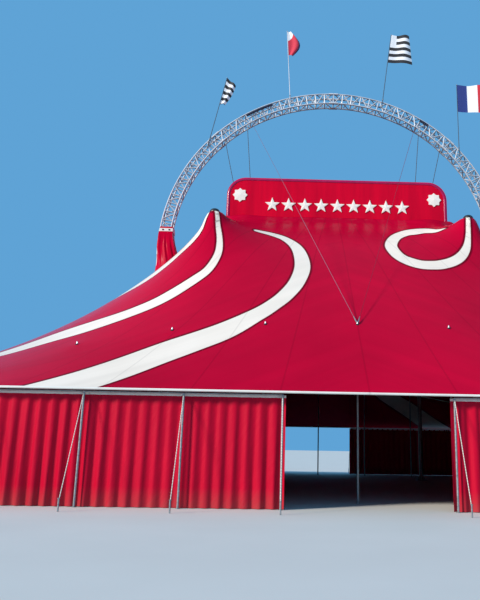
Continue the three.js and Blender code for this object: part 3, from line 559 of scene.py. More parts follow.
def influence(x, y, source):
    (px, py), softness = source
    images = [(ix, iy) for ix in ((px, -px) if px else (px,)) for iy in ((py, -py) if py else (py,))]
    return sum(-0.5 * np.log((x - ix) ** 2 + (y - iy) ** 2 + softness ** 2) for ix, iy in images)


def soap_film():
    """Solves the strengths of the sources that make the film pass through its supports."""
    peak = (MAST_FROM_MIDDLE, MAST_FROM_MIDDLE)
    eave_shares = [(step + 0.5) / EAVE_SOURCES for step in range(EAVE_SOURCES)]
    sources = [(peak, PEAK_SOFTNESS)] + [(at, RING_SOFTNESS) for at in RING_SOURCES]
    sources += [(at, 0) for at in round_quarter(-SOURCES_OUTSIDE, eave_shares)]
    targets = [(peak, MAST_TIP)] + [(at, RING_HEIGHT) for at in RING_TARGETS]
    targets += [(at, EAVE_HEIGHT) for at in round_quarter(0, eave_shares)]
    rows = [[influence(*at, source) for source in sources] + [1] for at, _ in targets]
    rows.append([(2 if x else 1) * (2 if y else 1) for (x, y), _ in sources] + [0])
    heights = np.array([height for _, height in targets] + [0])
    *strengths, level = np.linalg.solve(np.array(rows, float), heights)
    return lambda x, y: level + sum(s * influence(x, y, source) for s, source in zip(strengths, sources))


roof_height = soap_film()


def eave_reach(angle, outset=0.0):
    """Distance from the tent's middle out to its eave along a ray."""
    dx, dy = np.abs(np.cos(angle)), np.abs(np.sin(angle))
    cx, cy, radius = HALF_LENGTH - PLAN_CORNER, HALF_WIDTH - PLAN_CORNER, PLAN_CORNER + outset
    flat = np.minimum((HALF_LENGTH + outset) / np.maximum(dx, 1e-9),
                      (HALF_WIDTH + outset) / np.maximum(dy, 1e-9))
    along = dx * cx + dy * cy
    round_reach = along + np.sqrt(np.maximum(along ** 2 - (cx ** 2 + cy ** 2 - radius ** 2), 0))
    return np.where((flat * dx <= cx) | (flat * dy <= cy), flat, round_reach)


def rim_reach(angle):
    return np.minimum(CUPOLA_HALF[0] / np.maximum(np.abs(np.cos(angle)), 1e-9),
                      CUPOLA_HALF[1] / np.maximum(np.abs(np.sin(angle)), 1e-9))


def smooth_step(value, low, high):
    share = np.clip((value - low) / (high - low), 0, 1)
    return share * share * (3 - 2 * share)


def column_rays():
    """Rays for the grid's columns, evenly spaced along the eave, one through each corner and each mast."""
    fine = np.linspace(0, math.pi / 2, 4001)
    reach = eave_reach(fine)
    steps = np.hypot(np.diff(reach * np.cos(fine)), np.diff(reach * np.sin(fine)))
    walked = np.concatenate([[0], np.cumsum(steps)])
    stops = np.interp([0, math.atan2(CUPOLA_HALF[1], CUPOLA_HALF[0]), math.pi / 4, math.pi / 2], fine, walked)
    rays = []
    for start, end in zip(stops, stops[1:]):
        count = GORES // 2 * round(2 * GRID_COLUMNS / GORES * (end - start) / stops[-1])
        rays += list(np.interp(np.linspace(start, end, count + 1)[:-1], walked, fine))
    return np.array(rays + [math.pi / 2])


POLE_SPOTS = round_quarter(POLE_HEAD_INSET, np.linspace(0, 1, POLE_HEADS + 1))


def roof_points(rays, shares):
    """Grid of roof points for one quarter: rows out from the rim, columns along the rays."""
    inner, outer = rim_reach(rays), eave_reach(rays)
    reach = inner + (outer - inner) * shares[:, None]
    x, y = reach * np.cos(rays), reach * np.sin(rays)
    film = roof_height(x, y)
    film = film + (1 - smooth_step(shares, 0, RIM_SHARE))[:, None] * (RIM_HEIGHT - film)
    film = film + smooth_step(shares, EAVE_SHARE, 1)[:, None] * (EAVE_HEIGHT - film[-1])
    from_mast = np.hypot(x - MAST_FROM_MIDDLE, y - MAST_FROM_MIDDLE)
    film = film + (MAST_TIP - film) * np.exp(-(from_mast / PEAK_ROUND) ** 4)
    for spot in POLE_SPOTS:
        away = np.hypot(x - spot.x, y - spot.y)
        film = film + POLE_HEAD_LIFT * np.exp(-away / POLE_HEAD_SPREAD)
    return np.stack([x, y, film], -1)


def cloth_uv(points):
    """UV in metres: across from the first column, and down from the first row."""
    across = np.linalg.norm(np.diff(points, axis=1), axis=2)
    down = np.linalg.norm(np.diff(points, axis=0), axis=2)
    u = np.concatenate([np.zeros((points.shape[0], 1)), np.cumsum(across, axis=1)], axis=1)
    v = np.concatenate([np.zeros((1, points.shape[1])), np.cumsum(down, axis=0)], axis=0)
    return np.stack([u, v], -1)


def cut_size(grid):
    """Width and length of the cloth that a grid is cut from."""
    uv = cloth_uv(grid)
    return float(uv[:, -1, 0].max()), float(uv[..., 1].max())


def cloth_area(piece):
    return sum(face.area for face in piece.data.polygons)


def grid_piece(name, grid, finish, uv=None):
    """A primitive grid whose points are set to rows and columns of places, with a UV map in metres."""
    rows, columns = grid.shape[:2]
    piece = primitive(bpy.ops.mesh.primitive_grid_add, name, finish, x_subdivisions=columns - 1,
                      y_subdivisions=rows - 1, size=2)
    uv = cloth_uv(grid) if uv is None else uv
    mesh = piece.data
    mesh.vertices.foreach_set("co", grid.reshape(-1))
    corners = np.empty(len(mesh.loops), np.int32)
    mesh.loops.foreach_get("vertex_index", corners)
    layer = mesh.uv_layers.active or mesh.uv_layers.new(name="cloth")
    layer.name = "cloth"
    layer.uv.foreach_set("vector", uv.reshape(-1, 2)[corners].astype(np.float32).reshape(-1))
    mesh.update()
    return piece


def wave_scale(pitch):
    """The scale at which a wave texture repeats at a pitch in metres."""
    return 2 * math.pi / pitch / 20


def lacquered_canopy(put, place, shade, dark, light, seam, edge_width):
    # PVC-coated polyester, calendered and lacquered: an even, deep colour under a soft gloss, with the faint
    # bump of its scrim, flat welded seams that show as fine darker lines, strongest along the bands, and long
    # soft wrinkles down the slope. The scrim's 1 mm threads are drawn at 25 mm. Cloth with no band let in has
    # no edge width and no lines.
    cloth = put("UVMap", {}, uv_map="cloth")
    fade = put("TexNoise", {"Vector": place, "Scale": 0.22, "Detail": 3.0, "Roughness": 0.55})
    stretched = put("Mapping", {"Vector": cloth, "Scale": (1.1, 0.09, 1.0)})
    wrinkle = put("TexNoise", {"Vector": stretched, "Scale": 1.0, "Detail": 4.0, "Roughness": 0.5})
    rows, columns = (put("TexWave", {"Vector": cloth, "Scale": wave_scale(0.025)}, "Fac", bands_direction=way)
                     for way in "XY")
    scrim = put("Math", {0: rows, 1: columns}, operation="ADD")
    tone = put("MapRange", {"Value": fade, "From Min": 0.3, "From Max": 0.7})
    base = put("Mix", {0: tone, 6: dark, 7: light}, 2, data_type="RGBA")
    streak = put("MapRange", {"Value": wrinkle, "From Min": 0.35, "From Max": 0.7, "To Max": shade})
    colour = put("Mix", {0: streak, 6: base, 7: seam}, 2, data_type="RGBA")
    soft = put("Bump", {"Height": wrinkle, "Strength": 0.35, "Distance": 0.04})
    if edge_width:
        weld, band_edge = (put("Attribute", {}, "Fac", attribute_name=name) for name in ("weld", "band_edge"))
        near_weld = put("MapRange", {"Value": weld, "From Min": 0.03, "From Max": 0.022, "To Max": 0.2})
        from_edge = put("Math", {0: band_edge}, operation="ABSOLUTE")
        near_edge = put("MapRange", {"Value": from_edge, "From Min": edge_width, "From Max": 0.6 * edge_width,
                                     "To Max": 0.8})
        line = put("Math", {0: near_weld, 1: near_edge}, operation="MAXIMUM")
        colour = put("Mix", {0: line, 6: colour, 7: seam}, 2, data_type="RGBA")
        soft = put("Bump", {"Height": line, "Strength": 0.5, "Distance": 0.004, "Normal": soft})
    rough = put("MapRange", {"Value": fade, "From Min": 0.3, "From Max": 0.7, "To Min": 0.17, "To Max": 0.27})
    fine = put("Bump", {"Height": scrim, "Strength": 0.1, "Distance": 0.002, "Normal": soft})
    return {"Base Color": colour, "Roughness": rough, "Normal": fine, "Specular IOR Level": 0.02}


RED_CANOPY = material("lacquered_red_canopy", lacquered_canopy, 0.14, "#AC032A", "#BE042F", "#560216", 0.10)
PLAIN_CANOPY = material("lacquered_red_canopy_in_one_colour", lacquered_canopy, 0.25, "#B4032C", "#C80432",
                        "#560216", 0)
WHITE_CANOPY = material("lacquered_white_canopy", lacquered_canopy, 0.15, "#E6D8CA", "#F0E3D6", "#A4978F",
                        0.015)

# The white bands are strips let into the red cloth. Each is a centre line in plan with its half width at
# each point. The front has one along the cupola's foot and two from the left peak, all running out to the
# left, and one round the right peak. The third runs on over the ridge. The back has them turned half round.
BANDS = {
    "crescent": [(-3.73, -5.38, 0.09), (-3.02, -5.44, 0.15), (-2.41, -5.73, 0.19), (-1.92, -6.45, 0.26),
                 (-1.74, -7.63, 0.31), (-1.96, -8.68, 0.30), (-2.37, -9.48, 0.30), (-2.80, -10.02, 0.30),
                 (-3.32, -10.53, 0.34), (-4.28, -11.27, 0.45), (-5.22, -11.80, 0.50), (-6.18, -12.33, 0.56),
                 (-7.2, -13.03, 0.60), (-8.6, -14.05, 0.62), (-9.6, -14.9, 0.62)],
    "sweep": [(-5.5, -5.45, 0.05), (-5.47, -5.59, 0.07), (-5.28, -6.01, 0.10), (-5.14, -6.45, 0.12),
              (-5.10, -6.98, 0.15), (-5.23, -7.46, 0.18), (-5.45, -7.86, 0.21), (-5.78, -8.13, 0.25),
              (-6.13, -8.38, 0.28), (-6.60, -8.70, 0.32), (-7.16, -9.00, 0.34), (-7.90, -9.21, 0.38),
              (-8.57, -9.32, 0.45), (-9.42, -9.38, 0.58), (-10.49, -9.40, 0.68), (-11.4, -9.65, 0.68),
              (-13.0, -10.3, 0.68), (-15.2, -11.4, 0.68), (-17.0, -12.4, 0.68)],
    "edge": [(-5.55, -5.50, 0.04), (-5.80, -5.62, 0.12), (-6.04, -5.70, 0.21), (-6.25, -5.73, 0.28),
             (-6.46, -5.72, 0.32), (-6.83, -5.68, 0.38), (-7.27, -5.71, 0.48), (-7.62, -5.75, 0.54),
             (-7.95, -5.80, 0.58), (-8.40, -5.76, 0.54), (-8.95, -5.50, 0.49), (-9.8, -4.85, 0.47),
             (-10.8, -3.85, 0.50), (-12.0, -2.5, 0.55), (-13.4, -0.9, 0.61), (-15.0, 0.8, 0.66),
             (-16.9, 2.6, 0.68), (-19.6, 4.9, 0.68)],
    "hook": [(5.48, -5.46, 0.05), (5.41, -5.79, 0.09), (5.27, -6.16, 0.11), (5.06, -6.57, 0.15),
             (4.70, -6.97, 0.19), (4.26, -7.26, 0.22), (3.74, -7.44, 0.25), (3.39, -7.47, 0.26),
             (2.99, -7.44, 0.27), (2.64, -7.28, 0.28), (2.31, -7.00, 0.26), (2.10, -6.58, 0.26),
             (2.03, -5.95, 0.26), (2.35, -5.27, 0.26), (2.87, -4.90, 0.29), (3.28, -4.85, 0.33),
             (3.74, -4.92, 0.27), (4.12, -5.20, 0.16), (4.6, -5.3, 0.02)],
}
BAND_STEPS = 8
BAND_PROUD = 0.003
BAND_SPARE_WIDTH, BAND_SPARE_LENGTH, LONGEST_CUT = 1.6, 1.4, 29


def smooth_line(points):
    """A smooth curve through points of any number of values, with a few steps between each pair."""
    given = np.array(points)
    padded = np.vstack([2 * given[0] - given[1], given, 2 * given[-1] - given[-2]])
    made = []
    for a, b, c, d in zip(padded, padded[1:], padded[2:], padded[3:]):
        for step in range(BAND_STEPS):
            t = step / BAND_STEPS
            made.append(0.5 * (2 * b + (c - a) * t + (2 * a - 5 * b + 4 * c - d) * t ** 2
                               + (3 * b - a - 3 * c + d) * t ** 3))
    return np.array(made + [given[-1]])


def distance_to_band(x, y, band):
    """Distance from plan points to a band's edge, negative inside it."""
    best = np.full(x.shape, np.inf)
    for (ax, ay, aw), (bx, by, bw) in zip(band, band[1:]):
        length = (bx - ax) ** 2 + (by - ay) ** 2
        share = np.clip(((x - ax) * (bx - ax) + (y - ay) * (by - ay)) / length, 0, 1)
        away = np.hypot(x - ax - share * (bx - ax), y - ay - share * (by - ay))
        best = np.minimum(best, away - aw - share * (bw - aw))
    return best


def cut_inside(piece, distance_to):
    """Cuts a cloth along the line where a plan distance is nought, and selects what lies inside that line."""
    work = bmesh.new()
    work.from_mesh(piece.data)
    work.verts.ensure_lookup_table()
    places = np.array([vertex.co for vertex in work.verts])
    away = list(distance_to(places[:, 0], places[:, 1]))
    near = 1e-4
    away = [near if 0 <= value < near else -near if -near < value < 0 else value for value in away]
    for vertex, value in zip(work.verts, away):
        vertex.tag = value < 0
    on_line = set()
    for edge in [edge for edge in work.edges if edge.verts[0].tag != edge.verts[1].tag]:
        start, end = edge.verts
        share = away[start.index] / (away[start.index] - away[end.index])
        _, made = bmesh.utils.edge_split(edge, start, share)
        on_line.add(made)
    for face in [face for face in work.faces if sum(vertex in on_line for vertex in face.verts) >= 2]:
        cuts = [vertex for vertex in face.verts if vertex in on_line]
        for first, second in zip(cuts[::2], cuts[1::2]):
            if first in face.verts and second in face.verts and not work.edges.get((first, second)):
                bmesh.utils.face_split(face, first, second)
    for face in work.faces:
        face.select_set(any(vertex.tag for vertex in face.verts if vertex not in on_line))
    work.to_mesh(piece.data)
    work.free()
    return piece


def parted(piece, name):
    """Takes the selected faces off a cloth as a piece of their own. Gives None where nothing is selected."""
    if not any(face.select for face in piece.data.polygons):
        return None
    only(piece)
    bpy.ops.object.mode_set(mode="EDIT")
    bpy.ops.mesh.select_mode(type="FACE")
    bpy.ops.mesh.separate(type="SELECTED")
    bpy.ops.object.mode_set(mode="OBJECT")
    piece.select_set(False)
    strip = bpy.context.selected_objects[0]
    strip.name = strip.data.name = name
    return strip


def thickened(skin, mirrored, offset):
    """Turns a mirrored skin the right way up again and gives it its thickness."""
    if mirrored:
        skin.data.flip_normals()
    shaped(skin, "SOLIDIFY", thickness=CLOTH, offset=offset)
    bpy.ops.object.shade_smooth_by_angle(angle=math.radians(50))
    return skin


def leg_hole_distance(x, y):
    return np.maximum(np.abs(np.abs(x) - ARCH_RADIUS), np.abs(y)) - LEG_HOLE


roof_rays = column_rays()
diagonal = np.array([math.pi / 4])
peak_share = ((math.sqrt(2) * MAST_FROM_MIDDLE - rim_reach(diagonal))
              / (eave_reach(diagonal) - rim_reach(diagonal)))[0]
peak_row = round(GRID_ROWS * peak_share)
roof_shares = np.concatenate([np.linspace(0, peak_share, peak_row + 1)[:-1],
                              np.linspace(peak_share, 1, GRID_ROWS - peak_row + 1)])
roof_grid = roof_points(roof_rays, roof_shares)
roof_uv = cloth_uv(roof_grid)
gore_columns = (len(roof_rays) - 1) / GORES
from_weld = np.abs((np.arange(len(roof_rays)) + gore_columns / 2) % gore_columns - gore_columns / 2)
column_width = np.gradient(roof_uv[..., 0], axis=1)

band_lines = {f"{name}_band_{face}": smooth_line(band) * turn for name, band in BANDS.items()
              for face, turn in (("front", (1, 1, 1)), ("back", (-1, -1, 1)))}

for corner, (sx, sy) in MAST_CORNERS.items():
    red = grid_piece(f"roof_cloth_{corner}", roof_grid * (sx, sy, 1), RED_CANOPY)
    plan_x, plan_y = roof_grid[..., 0] * sx, roof_grid[..., 1] * sy
    band_edge = np.min([distance_to_band(plan_x, plan_y, line) for line in band_lines.values()], axis=0)
    for attribute, values in (("weld", from_weld * column_width), ("band_edge", band_edge)):
        layer = red.data.attributes.new(attribute, "FLOAT", "POINT")
        layer.data.foreach_set("value", values.astype(np.float32).reshape(-1))
    bpy.data.objects.remove(parted(cut_inside(red, leg_hole_distance), "leg_hole"))
    for band_name, line in band_lines.items():
        strip = parted(cut_inside(red, lambda x, y: distance_to_band(x, y, line)), f"{band_name}_{corner}")
        if strip is None:
            continue
        strip.data.materials[0] = WHITE_CANOPY
        area = cloth_area(strip)
        length = float(np.linalg.norm(np.diff(line[:, :2], axis=0), axis=1).sum())
        fit(thickened(strip, sx * sy < 0, BAND_PROUD / CLOTH * 2 - 1), "white_canopy")
        wide, long = area / length * BAND_SPARE_WIDTH, length * BAND_SPARE_LENGTH
        min(wide, LONGEST_CUT)
        min(long, LONGEST_CUT)
    area = cloth_area(red)
    fit(thickened(red, sx * sy < 0, -1), "red_canopy", f"roof_{corner}")

# The eave hem
# A tube of white polyester webbing, woven and a little soiled, sewn round the roof's lower edge. It takes
# the pull of the guy ropes.
HEM_RADIUS, HEM_POINTS = 0.035, 90
HEM_INSET, HEM_BELOW = 0.012, 0.02


def polyester_webbing(put, place):
    # woven polyester webbing, tightly ribbed and a little soiled: off-white, dull, with a rib drawn at 12 mm
    soil = put("TexNoise", {"Vector": place, "Scale": 2.2, "Detail": 5.0})
    rib = put("TexWave", {"Vector": place, "Scale": wave_scale(0.012)}, "Fac", bands_direction="Z")
    colour = put("Mix", {0: soil, 6: "#F2F0EA", 7: "#D2CDC4"}, 2, data_type="RGBA")
    bump = put("Bump", {"Height": rib, "Strength": 0.3, "Distance": 0.002})
    return {"Base Color": colour, "Roughness": 0.75, "Normal": bump, "Sheen Weight": 0.2}


WEBBING = material("woven_white_webbing", polyester_webbing)
hem_length = sum(quarter_lengths(0))
hem_spots = [along_quarter(hem_length * step / HEM_POINTS, HEM_INSET)[0] for step in range(HEM_POINTS + 1)]
for corner, (sx, sy) in MAST_CORNERS.items():
    line = [(at.x * sx, at.y * sy, EAVE_HEIGHT - HEM_BELOW) for at in hem_spots]
    fit(rods(f"eave_hem_{corner}", [line], HEM_RADIUS, WEBBING, 3), "white_canopy")

# The cupola
# A box of red-clad panels front and back on a steel ring, with padded piping round the panels' edges, nine
# raised white stars between two rosettes on each, and a cloth cover stretched over hoops between them.
PANEL_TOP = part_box("cupola_panel_front")[1].z
PANEL_WALL, PANEL_GAP = 0.06, 0.0004
PANEL_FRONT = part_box("cupola_cover")[0].y - PANEL_WALL - PANEL_GAP
PANEL_CORNER, PANEL_CORNER_STEPS = 0.9, 14
PIPING_RADIUS, PIPING_SUNK = 0.085, 0.6
STAR = {"tips": 5, "radius": 0.36, "waist": 0.42}
STAR_COUNT, STAR_PITCH, STAR_HEIGHT = 9, 0.773, RIM_HEIGHT + 0.62
ROSETTE = {"tips": 8, "radius": 0.35, "waist": 0.78}
ROSETTE_FROM_MIDDLE, ROSETTE_HEIGHT = 4.63, RIM_HEIGHT + 1.07
RELIEF, RELIEF_CROWN = 0.035, 0.022
HOOPS = 5
COVER_SAG, SAG_ABOVE_RIM = 0.10, 0.8
COVER_INSET, COVER_COLUMNS, COVER_ROWS = 0.02, 60, 40


def cupola_arc(inset):
    """Outline of a panel from its lower right corner over the top, as distance along and height."""
    half, top, radius = CUPOLA_HALF[0] - inset, PANEL_TOP - inset, PANEL_CORNER - inset
    turns = [math.pi / 2 * step / PANEL_CORNER_STEPS for step in range(PANEL_CORNER_STEPS + 1)]
    right = [(half - radius + radius * math.cos(t), top - radius + radius * math.sin(t)) for t in turns]
    return [(half, RIM_HEIGHT), *right, *[(-x, z) for x, z in reversed(right)], (-half, RIM_HEIGHT)]


def coated_cladding(put, place, light, dark, gloss):
    # red lacquered sheet on a steel frame: glossy, with faint upright drip streaks and slightly oil-canned
    upright = put("Mapping", {"Vector": place, "Scale": (2.2, 2.2, 0.18)})
    streaks = put("TexNoise", {"Vector": upright, "Scale": 1.0, "Detail": 5.0, "Roughness": 0.6})
    can = put("TexNoise", {"Vector": place, "Scale": 0.7, "Detail": 2.0})
    tone = put("MapRange", {"Value": streaks, "From Min": 0.35, "From Max": 0.68})
    colour = put("Mix", {0: tone, 6: light, 7: dark}, 2, data_type="RGBA")
    bump = put("Bump", {"Height": can, "Strength": 0.4, "Distance": 0.05})
    return {"Base Color": colour, "Roughness": 0.2, "Normal": bump, "Specular IOR Level": gloss}


def moulded_acrylic(put, place):
    # opal acrylic, vacuum-moulded: bright even white with a clean gloss and a little grime in the hollows
    grime = put("TexNoise", {"Vector": place, "Scale": 3.5, "Detail": 5.0})
    colour = put("Mix", {0: grime, 6: "#FFF8EC", 7: "#EDE3D6"}, 2, data_type="RGBA")
    return {"Base Color": colour, "Roughness": 0.22, "Coat Weight": 0.3}


CLADDING = material("lacquered_red_cladding", coated_cladding, "#D6042C", "#BC0328", 0.08)
# The piping is red cloth, drawn magenta as a painted reflection of the blue sky on its gloss
PIPING = material("red_piping_with_painted_magenta_reflection", coated_cladding, "#B4034E", "#960244", 0.45)
ACRYLIC = material("moulded_opal_acrylic", moulded_acrylic)


def extruded(piece, way, *steps):
    """Extrudes the one face of a piece along a way, and works on."""
    move = {"TRANSFORM_OT_translate": {"value": way}}
    in_edit_mode(piece, (bpy.ops.mesh.extrude_region_move, move), *steps)


def star(x, height, face, outwards, tips, radius, waist):
    """A raised star whose ridges meet at its crown."""
    middle = Vector((x, face, height))
    made = primitive(bpy.ops.mesh.primitive_circle_add, "star", ACRYLIC, vertices=2 * tips, radius=radius,
                     fill_type="NGON", rotation=(math.pi / 2 * outwards, 0, 0), location=middle)
    for number, vertex in enumerate(made.data.vertices):
        reach = radius * (waist if number % 2 else 1)
        angle = math.pi / 2 + number * math.pi / tips
        vertex.co = middle + Vector((reach * math.cos(angle), 0, reach * math.sin(angle)))
    extruded(made, (0, -outwards * RELIEF, 0), (bpy.ops.mesh.poke, {"offset": 0}))
    front = face - outwards * RELIEF
    for vertex in made.data.vertices:
        if (vertex.co - middle).xz.length < 0.001 and abs(vertex.co.y - front) < 0.001:
            vertex.co.y -= outwards * RELIEF_CROWN
    return clean_mesh(made, 5)


def cloth_piece(name, grid, finish, slot, *nodes, thick=CLOTH, smooth_to=50, closed=False, uv=None):
    """A cloth along a grid, given its thickness and set into the frame. Gives the piece and its area."""
    piece = grid_piece(name, grid, finish, uv)
    area = cloth_area(piece)
    if closed:
        clean_mesh(piece, 80)
    shaped(piece, "SOLIDIFY", thickness=thick, offset=0)
    return fit(clean_mesh(piece, smooth_to), slot, *nodes), area


for face, outwards in (("front", 1), ("back", -1)):
    y = outwards * PANEL_FRONT
    corners = [(along, y, height) for along, height in cupola_arc(0)]
    panel = from_points(f"cupola_cladding_{face}", corners, [], [range(len(corners))], CLADDING)
    extruded(panel, (0, outwards * PANEL_WALL, 0))
    fit(clean_mesh(panel, 30), "red_panel", f"cupola_panel_{face}")
    line = [(along, y + outwards * PIPING_RADIUS * PIPING_SUNK, height)
            for along, height in cupola_arc(PIPING_RADIUS)]
    fit(rods(f"cupola_piping_{face}", [line], PIPING_RADIUS, PIPING, 5), "red_panel")
    stars = [star((at - (STAR_COUNT - 1) / 2) * STAR_PITCH, STAR_HEIGHT, y, outwards, **STAR)
             for at in range(STAR_COUNT)]
    stars += [star(end * ROSETTE_FROM_MIDDLE, ROSETTE_HEIGHT, y, outwards, **ROSETTE) for end in (-1, 1)]
    fit(joined(f"cupola_stars_{face}", stars), "white_canopy")

cover_line = np.array(cupola_arc(COVER_INSET))
walked = np.concatenate([[0], np.cumsum(np.linalg.norm(np.diff(cover_line, axis=0), axis=1))])
at_row = np.linspace(0, walked[-1], COVER_ROWS + COVER_COLUMNS + 1)
x, z = (np.interp(at_row, walked, cover_line[:, axis])[:, None] for axis in (0, 1))
across = np.linspace(PANEL_FRONT + PANEL_WALL, -PANEL_FRONT - PANEL_WALL, COVER_ROWS + 1)
between_hoops = np.abs(np.sin(math.pi * (HOOPS - 1) * (across - across[0]) / (across[-1] - across[0])))
sag = COVER_SAG * between_hoops * smooth_step(z, RIM_HEIGHT, RIM_HEIGHT + SAG_ABOVE_RIM)
on_top = smooth_step(z, PANEL_TOP - PANEL_CORNER, PANEL_TOP)
cover_grid = np.stack([x - sag * x / CUPOLA_HALF[0] * (1 - on_top), np.broadcast_to(across, sag.shape),
                       z - sag * on_top], -1)
cover, area = cloth_piece("cupola_cloth", cover_grid, PLAIN_CANOPY, "red_canopy", "cupola_cover")

# The cables
# Galvanised wire ropes with swaged sockets. Four hangers carry the cupola from the arch, and two stays come
# down in front to a cast head over the middle quarter pole. The left stay is a painted lit pale pink, and the
# right one a dark red of painted shade.
ROPE_RADIUS, STAY_RADIUS = 0.016, 0.008
SOCKET_RADIUS, SOCKET_LENGTH, SOCKET_TAPERS = 0.026, 0.32, [1.0, 0.55]
HANGERS = {"outer": (5.75, 4.95), "inner": (4.6, 4.25)}
STAY_AT_ARCH, STAY_FROM_MIDDLE, STAY_ABOVE_SKIN = 4.4, 0.024, 0.11


def laid_strands(put, place, dark, light, pitch, depth, rough, metallic):
    # strands laid round each other: galvanised wire is dull grey, polyester rope off-white and matt. The
    # stays' wire carries painted light, pale pink on the left and dark red painted shade on the right. The
    # lay of the strands is drawn at 50 to 60 mm to show
    lay = put("TexWave", {"Vector": place, "Scale": wave_scale(pitch)}, "Fac", bands_direction="DIAGONAL")
    colour = put("Mix", {0: lay, 6: dark, 7: light}, 2, data_type="RGBA")
    bump = put("Bump", {"Height": lay, "Strength": depth, "Distance": 0.003})
    return {"Base Color": colour, "Roughness": rough, "Metallic": metallic, "Normal": bump}


WIRE = (0.06, 0.6, 0.5, 0.3)
ROPE = material("stranded_wire_rope", laid_strands, "#2C2C33", "#4A4A53", *WIRE)
# painted light: the left stay's wire is drawn a lit pale pink
PAINTED_LIT_ROPE = material("wire_rope_painted_lit_pink", laid_strands, "#76566A", "#907084", *WIRE)
# painted shade: the right stay's wire is drawn the dark red that it shows in shade against the roof
PAINTED_SHADE_ROPE = material("wire_rope_painted_shade_red", laid_strands, "#7C0C28", "#961430", *WIRE)


def cable(start, end, radius, rope):
    """A taut rope with a socket at each end."""
    start, end = Vector(start), Vector(end)
    along = (end - start).normalized() * SOCKET_LENGTH
    sockets = [[start, start + along], [end, end - along]]
    return [rods("rope", [[start, end]], radius, rope, 3),
            rods("sockets", sockets, SOCKET_RADIUS, STEEL, 3, SOCKET_TAPERS)]


def chord_height(x):
    return ARCH_SPRING + math.sqrt((ARCH_RADIUS - CHORD_OFFSET) ** 2 - x * x)


for side, sx in (("left", -1), ("right", 1)):
    for place, (high, low) in HANGERS.items():
        rope_low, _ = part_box(f"hanger_{place}_{side}")
        start = (sx * high, -CHORD_OFFSET, chord_height(high) - CHORD_TUBE)
        end = (sx * low, -CHORD_OFFSET, rope_low.z)
        fit(joined(f"hanger_rope_{place}_{side}", cable(start, end, ROPE_RADIUS, ROPE)), "steel_cable",
            f"hanger_{place}_{side}")

middle_pole = HALF_WIDTH - POLE_HEAD_INSET
stay_foot = float(roof_height(0.0, middle_pole)) + STAY_ABOVE_SKIN
stays = []
for sx, rope in ((-1, PAINTED_LIT_ROPE), (1, PAINTED_SHADE_ROPE)):
    stays += cable((sx * STAY_AT_ARCH, -CHORD_OFFSET - CHORD_TUBE, chord_height(STAY_AT_ARCH)),
                   (sx * STAY_FROM_MIDDLE, -middle_pole, stay_foot), STAY_RADIUS, rope)
fit(joined("stay_ropes_front", stays), "steel_cable", "stays_front")

# The boots
# Sleeves of the roof cloth round the arch's legs. They are gathered and strapped square to the leg under
# ratchets, and let out round, more on the side of the peaks, down to the weld on the roof.
BOOT_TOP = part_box("boot_left")[1].z
BOOT_HEM = BOOT_TOP - 0.01
BOOT_COLUMNS, BOOT_ROWS = 128, 34
BOOT_SQUARE_TO, BOOT_ROUND_AT, BOOT_SQUARENESS = 11.9, 10.4, 0.94
BOOT_PROFILE = [(7.3, 1.90), (8.7, 1.40), (9.45, 1.05), (10.1, 0.80), (10.7, 0.62), (11.2, 0.51),
                (11.9, 0.385), (BOOT_TOP, 0.322)]
BOOT_LEAN = [(8.7, 0.70), (9.45, 0.56), (10.1, 0.42), (10.7, 0.29), (11.2, 0.18), (11.9, 0.05), (12.2, 0.0)]
BOOT_GATHERS, GATHER_DEPTH = 12, 0.018
LOOSE_BELOW_STRAP, LOOSE_ABOVE_WELD = (0.25, 1.2), (8.2, 9.6)
BOOT_SEARCH = np.linspace(BOOT_HEM, 7.4, 400)
BOOT_WELD, ABOVE_ROOF, WELD_ABOVE_ROOF = 0.14, 0.015, 0.006
STRAP_TOP, STRAP_WIDTH, STRAP_PROUD, STRAP_POINTS = BOOT_TOP - 0.10, 0.17, 0.012, 64
RATCHET, RATCHET_EDGE = Vector((0.09, 0.05, 0.07)), 0.01
RATCHET_FROM_LEG, RATCHET_APART, RATCHET_OUT = 0.10, 0.16, 0.352


def boot_point(turn, height, outwards=0.0):
    """Point of a sleeve round the right leg at a turn and a height."""
    width = float(np.interp(height, *zip(*BOOT_PROFILE))) + outwards
    squareness = float(smooth_step(height, BOOT_ROUND_AT, BOOT_SQUARE_TO))
    cx, cy = math.cos(turn), math.sin(turn)
    stretch = 1 + (1 / max(abs(cx), abs(cy)) - 1) * squareness * BOOT_SQUARENESS
    # the gathers flatten under the strap and over the weld
    loose = float(smooth_step(BOOT_TOP - height, *LOOSE_BELOW_STRAP) * smooth_step(height, *LOOSE_ABOVE_WELD))
    fold = math.sin(BOOT_GATHERS * turn) + 0.45 * math.sin(BOOT_GATHERS * 1.75 * turn + 1.3)
    reach = (width + GATHER_DEPTH * loose * fold) * stretch
    lean = max(0.0, height - ARCH_SPRING) * math.tan(ARCH_SECTION / 8)
    lean += float(np.interp(height, *zip(*BOOT_LEAN)))
    return Vector((ARCH_RADIUS + reach * cx - lean, reach * cy, height))


def boot_rows(turn):
    """One gather line of the sleeve, from its strap down to the roof and a little way over it."""
    for low in BOOT_SEARCH:
        at = boot_point(turn, low)
        if roof_height(at.x, at.y) + ABOVE_ROOF >= low:
            break
    line = [boot_point(turn, BOOT_HEM + (low - BOOT_HEM) * (row / BOOT_ROWS) ** 0.9)
            for row in range(BOOT_ROWS + 1)]
    foot = line[-1].xy
    away = (foot - Vector((ARCH_RADIUS, 0))).normalized()
    for step in (0.5, 1):
        spot = foot + away * BOOT_WELD * step
        line.append(Vector((*spot, float(roof_height(*spot)) + WELD_ABOVE_ROOF)))
    return line


